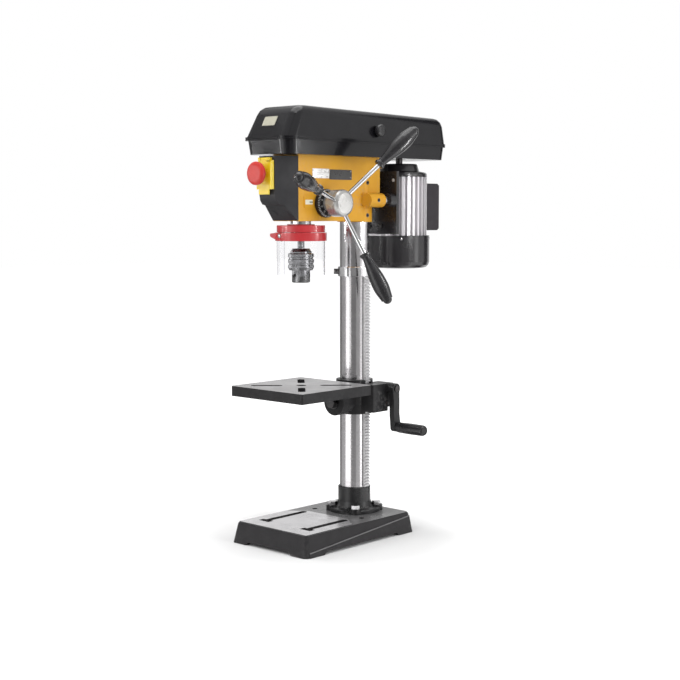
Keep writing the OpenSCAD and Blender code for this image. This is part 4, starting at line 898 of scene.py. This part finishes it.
# %% Numbers on the dial
NUMBER_RADIUS = 19.4
NUMBER_HEIGHT = 3.6
NUMBER_THICK = 0.06
NUMBER_LIFT = 0.07
NUMBER_WELD = 0.000001
numbers = bmesh.new()
for count in range(10):
    words = bpy.data.curves.new("number", "FONT")
    words.body = str(count * 10)
    words.size = NUMBER_HEIGHT * MM
    words.extrude = NUMBER_THICK * MM
    words.align_x = "CENTER"
    words.align_y = "CENTER"
    words.resolution_u = 3
    holder = linked("number", words)
    letter = bpy.data.meshes.new_from_object(holder.evaluated_get(bpy.context.evaluated_depsgraph_get()))
    a = math.radians(90 - count * 36)
    out = Vector((0.0, math.cos(a), math.sin(a)))
    along = out.cross(Vector((1.0, 0.0, 0.0)))
    seat = at(DIAL_FACE + NUMBER_LIFT, FEED_Y, FEED_Z) + out * NUMBER_RADIUS * MM
    letter.transform(Matrix(((along.x, out.x, 1.0, seat.x), (along.y, out.y, 0.0, seat.y),
                             (along.z, out.z, 0.0, seat.z), (0.0, 0.0, 0.0, 1.0))))
    numbers.from_mesh(letter)
    bpy.data.objects.remove(holder)
bmesh.ops.remove_doubles(numbers, verts=numbers.verts, dist=NUMBER_WELD)
number_mesh = bpy.data.meshes.new("dial_numbers")
numbers.to_mesh(number_mesh)
numbers.free()
number_mesh.materials.append(mark_white)
dial_numbers = linked("dial_numbers", number_mesh)
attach(dial_numbers, "depth_ring_body")
print("dial numbers", len(number_mesh.polygons), "faces")

# %% [markdown]
# Small screws and rivets repeat too: four screws hold the lower bell to the motor, four rivets pin the
# two plates of the head, and the guard band, the rack ring and the motor plate have one screw each.
# One tree puts a domed head on each vertex of a point mesh and turns it to face a given way.

# %% Screw heads and rivets
heads_tree, given, put = new_geometry_tree(
    "heads_on_points",
    [("Radius", "NodeSocketFloat"), ("Height", "NodeSocketFloat"), ("Facing", "NodeSocketVector"),
     ("Material", "NodeSocketMaterial")])
disc = step(heads_tree, "GeometryNodeMeshCylinder", Vertices=20, Radius=given["Radius"],
            Depth=given["Height"])
dome = step(heads_tree, "GeometryNodeMeshUVSphere", Segments=20, Rings=8, Radius=given["Radius"])
flatter = step(heads_tree, "GeometryNodeTransform", Geometry=dome.outputs["Mesh"], Scale=(0.96, 0.96, 0.42))
both = heads_tree.nodes.new("GeometryNodeJoinGeometry")
heads_tree.links.new(disc.outputs["Mesh"], both.inputs["Geometry"])
heads_tree.links.new(flatter.outputs["Geometry"], both.inputs["Geometry"])
turned = step(heads_tree, "FunctionNodeAlignRotationToVector", Vector=given["Facing"])
turned.axis = "Z"
seated = step(heads_tree, "GeometryNodeInstanceOnPoints", Points=given["Geometry"],
              Instance=both.outputs["Geometry"], Rotation=turned.outputs["Rotation"])
solid = step(heads_tree, "GeometryNodeRealizeInstances", Geometry=seated.outputs["Instances"])
smooth = step(heads_tree, "GeometryNodeSetShadeSmooth", Geometry=solid.outputs["Geometry"])
painted_output(heads_tree, smooth.outputs["Geometry"], given, put)


def heads(name, points, radius_mm, height_mm, facing, material, body, slot):
    dots = bpy.data.meshes.new(name)
    dots.from_pydata([tuple(p) for p in points], [], [])
    run_tree(name, heads_tree, {"Radius": radius_mm * MM, "Height": height_mm * MM, "Facing": facing,
                                "Material": material}, body, slot, base=dots)


rivet_seats = [at(HEAD_SIDE + 0.6, y, z) for y in (-155.5, -49) for z in (719, 731.5)]
heads("head_plate_rivets", rivet_seats, 1.1, 0.5, (1.0, 0.0, 0.0), ground_steel, "frame", "polished_steel")
MOTOR_SEAT = at(0, 138, 596.5)
BELL_R = 64
for index, turn in enumerate((-45, 45, 135, 225)):
    out = heading(turn)
    heads("bell_screw_" + str(index + 1), [MOTOR_SEAT + out * BELL_R * MM], 2.6, 1.6, tuple(out),
          ground_steel, "motor_group", "polished_steel")

BAND_R = 50.2
BAND_SCREW_Z = 606
screw_out = heading(-101)
screw_seat = GUARD_AXIS + screw_out * (BAND_R + 0.5) * MM + flat(0, 0, BAND_SCREW_Z)
heads("band_screw", [screw_seat], 4.2, 2.0, tuple(screw_out), ground_steel, "guard_body", "red_plastic")
RING_Z = 532
RING_SCREW_R = 38
ring_out = heading(226)
ring_seat = at(0, 0, RING_Z) + ring_out * RING_SCREW_R * MM
heads("ring_screw", [ring_seat], 5.6, 8.0, tuple(ring_out), dark_steel, "frame", "dark_screws")
PLATE_FRONT = 62
heads("motor_plate_screw", [at(49.5, PLATE_FRONT, 716)], 3.4, 1.6, (0.0, -1.0, 0.0), rack_steel, "motor_group",
      "polished_steel")

# %% [markdown]
# Two small things finish the silhouette. The guard band ends in a thumb lug, a wedge that narrows
# outwards. The base casting has a raised bead along each side, where the two halves of the mould met.
# The bead is painted a pale grey, much lighter than the base: a painted highlight for the light caught
# along the ridge's top edge. A bead is a round section drawn along a line, so one tree makes both: it
# turns the edges of a thin mesh into a curve and sweeps a circle along it.

# %% Thumb lug and casting beads
lug_out = heading(226)
lug_side = Vector((-lug_out.y, lug_out.x, 0.0))
LUG_ROOT = (BAND_R - 1.5, 8.0, 598.0, 611.5)
LUG_TIP = (BAND_R + 10.0, 2.6, 604.0, 610.0)
lug_work = bmesh.new()
lug_rings = []
for reach, half, low, high in (LUG_ROOT, LUG_TIP):
    seat = GUARD_AXIS + lug_out * reach * MM
    corners = [(-half, low), (half, low), (half, high), (-half, high)]
    lug_rings.append([lug_work.verts.new(seat + lug_side * s * MM + flat(0, 0, z)) for s, z in corners])
lug_work.faces.new(lug_rings[0])
lug_work.faces.new(lug_rings[1])
for i in range(4):
    j = (i + 1) % 4
    lug_work.faces.new((lug_rings[0][i], lug_rings[0][j], lug_rings[1][j], lug_rings[1][i]))
bmesh.ops.bevel(lug_work, geom=list(lug_work.edges), offset=1.0 * MM, segments=2, affect="EDGES")
bmesh.ops.recalc_face_normals(lug_work, faces=lug_work.faces)
lug_mesh = bpy.data.meshes.new("guard_lug")
lug_work.to_mesh(lug_mesh)
lug_work.free()
lug_mesh.materials.append(red_plastic)
guard_lug = linked("guard_lug", lug_mesh)
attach(guard_lug, "guard_body")
print("guard lug", len(lug_mesh.polygons), "faces")

bead_tree, given, put = new_geometry_tree(
    "bead_along_a_line", [("Radius", "NodeSocketFloat"), ("Material", "NodeSocketMaterial")])
bead_line = step(bead_tree, "GeometryNodeMeshToCurve", Mesh=given["Geometry"])
bead_round = step(bead_tree, "GeometryNodeCurvePrimitiveCircle", Resolution=12, Radius=given["Radius"])
bead_swept = step(bead_tree, "GeometryNodeCurveToMesh", Curve=bead_line.outputs["Curve"],
                  Profile_Curve=bead_round.outputs["Curve"], Fill_Caps=True)
painted_output(bead_tree, bead_swept.outputs["Mesh"], given, put)


def bead(name, points, radius_mm, material, body, slot):
    line = bpy.data.meshes.new(name)
    line.from_pydata([tuple(p) for p in points], [(i, i + 1) for i in range(len(points) - 1)], [])
    run_tree(name, bead_tree, {"Radius": radius_mm * MM, "Material": material}, body, slot, base=line)


BEAD_FRONT = -238
BEAD_REAR = 58
BEAD_CLIMB = 28 / 343
BEAD_LOW = 7
BASE_FRONT = -261
BASE_TOP_HALF = 97.4
BASE_FLARE = 7.4
BASE_WALL = 38
for label, side in (("left", -1), ("right", 1)):
    bead_points = []
    for y in (BEAD_FRONT, BEAD_REAR):
        rise = BEAD_LOW + (y - BASE_FRONT) * BEAD_CLIMB
        bead_points.append(at(side * (BASE_TOP_HALF + BASE_FLARE * (1 - rise / BASE_WALL)), y, rise))
    # the beads' pale paint is a painted highlight on the ridge
    bead("base_bead_" + label, bead_points, 1.3, bead_highlight_paint, "frame", SLOT_OF["base"])
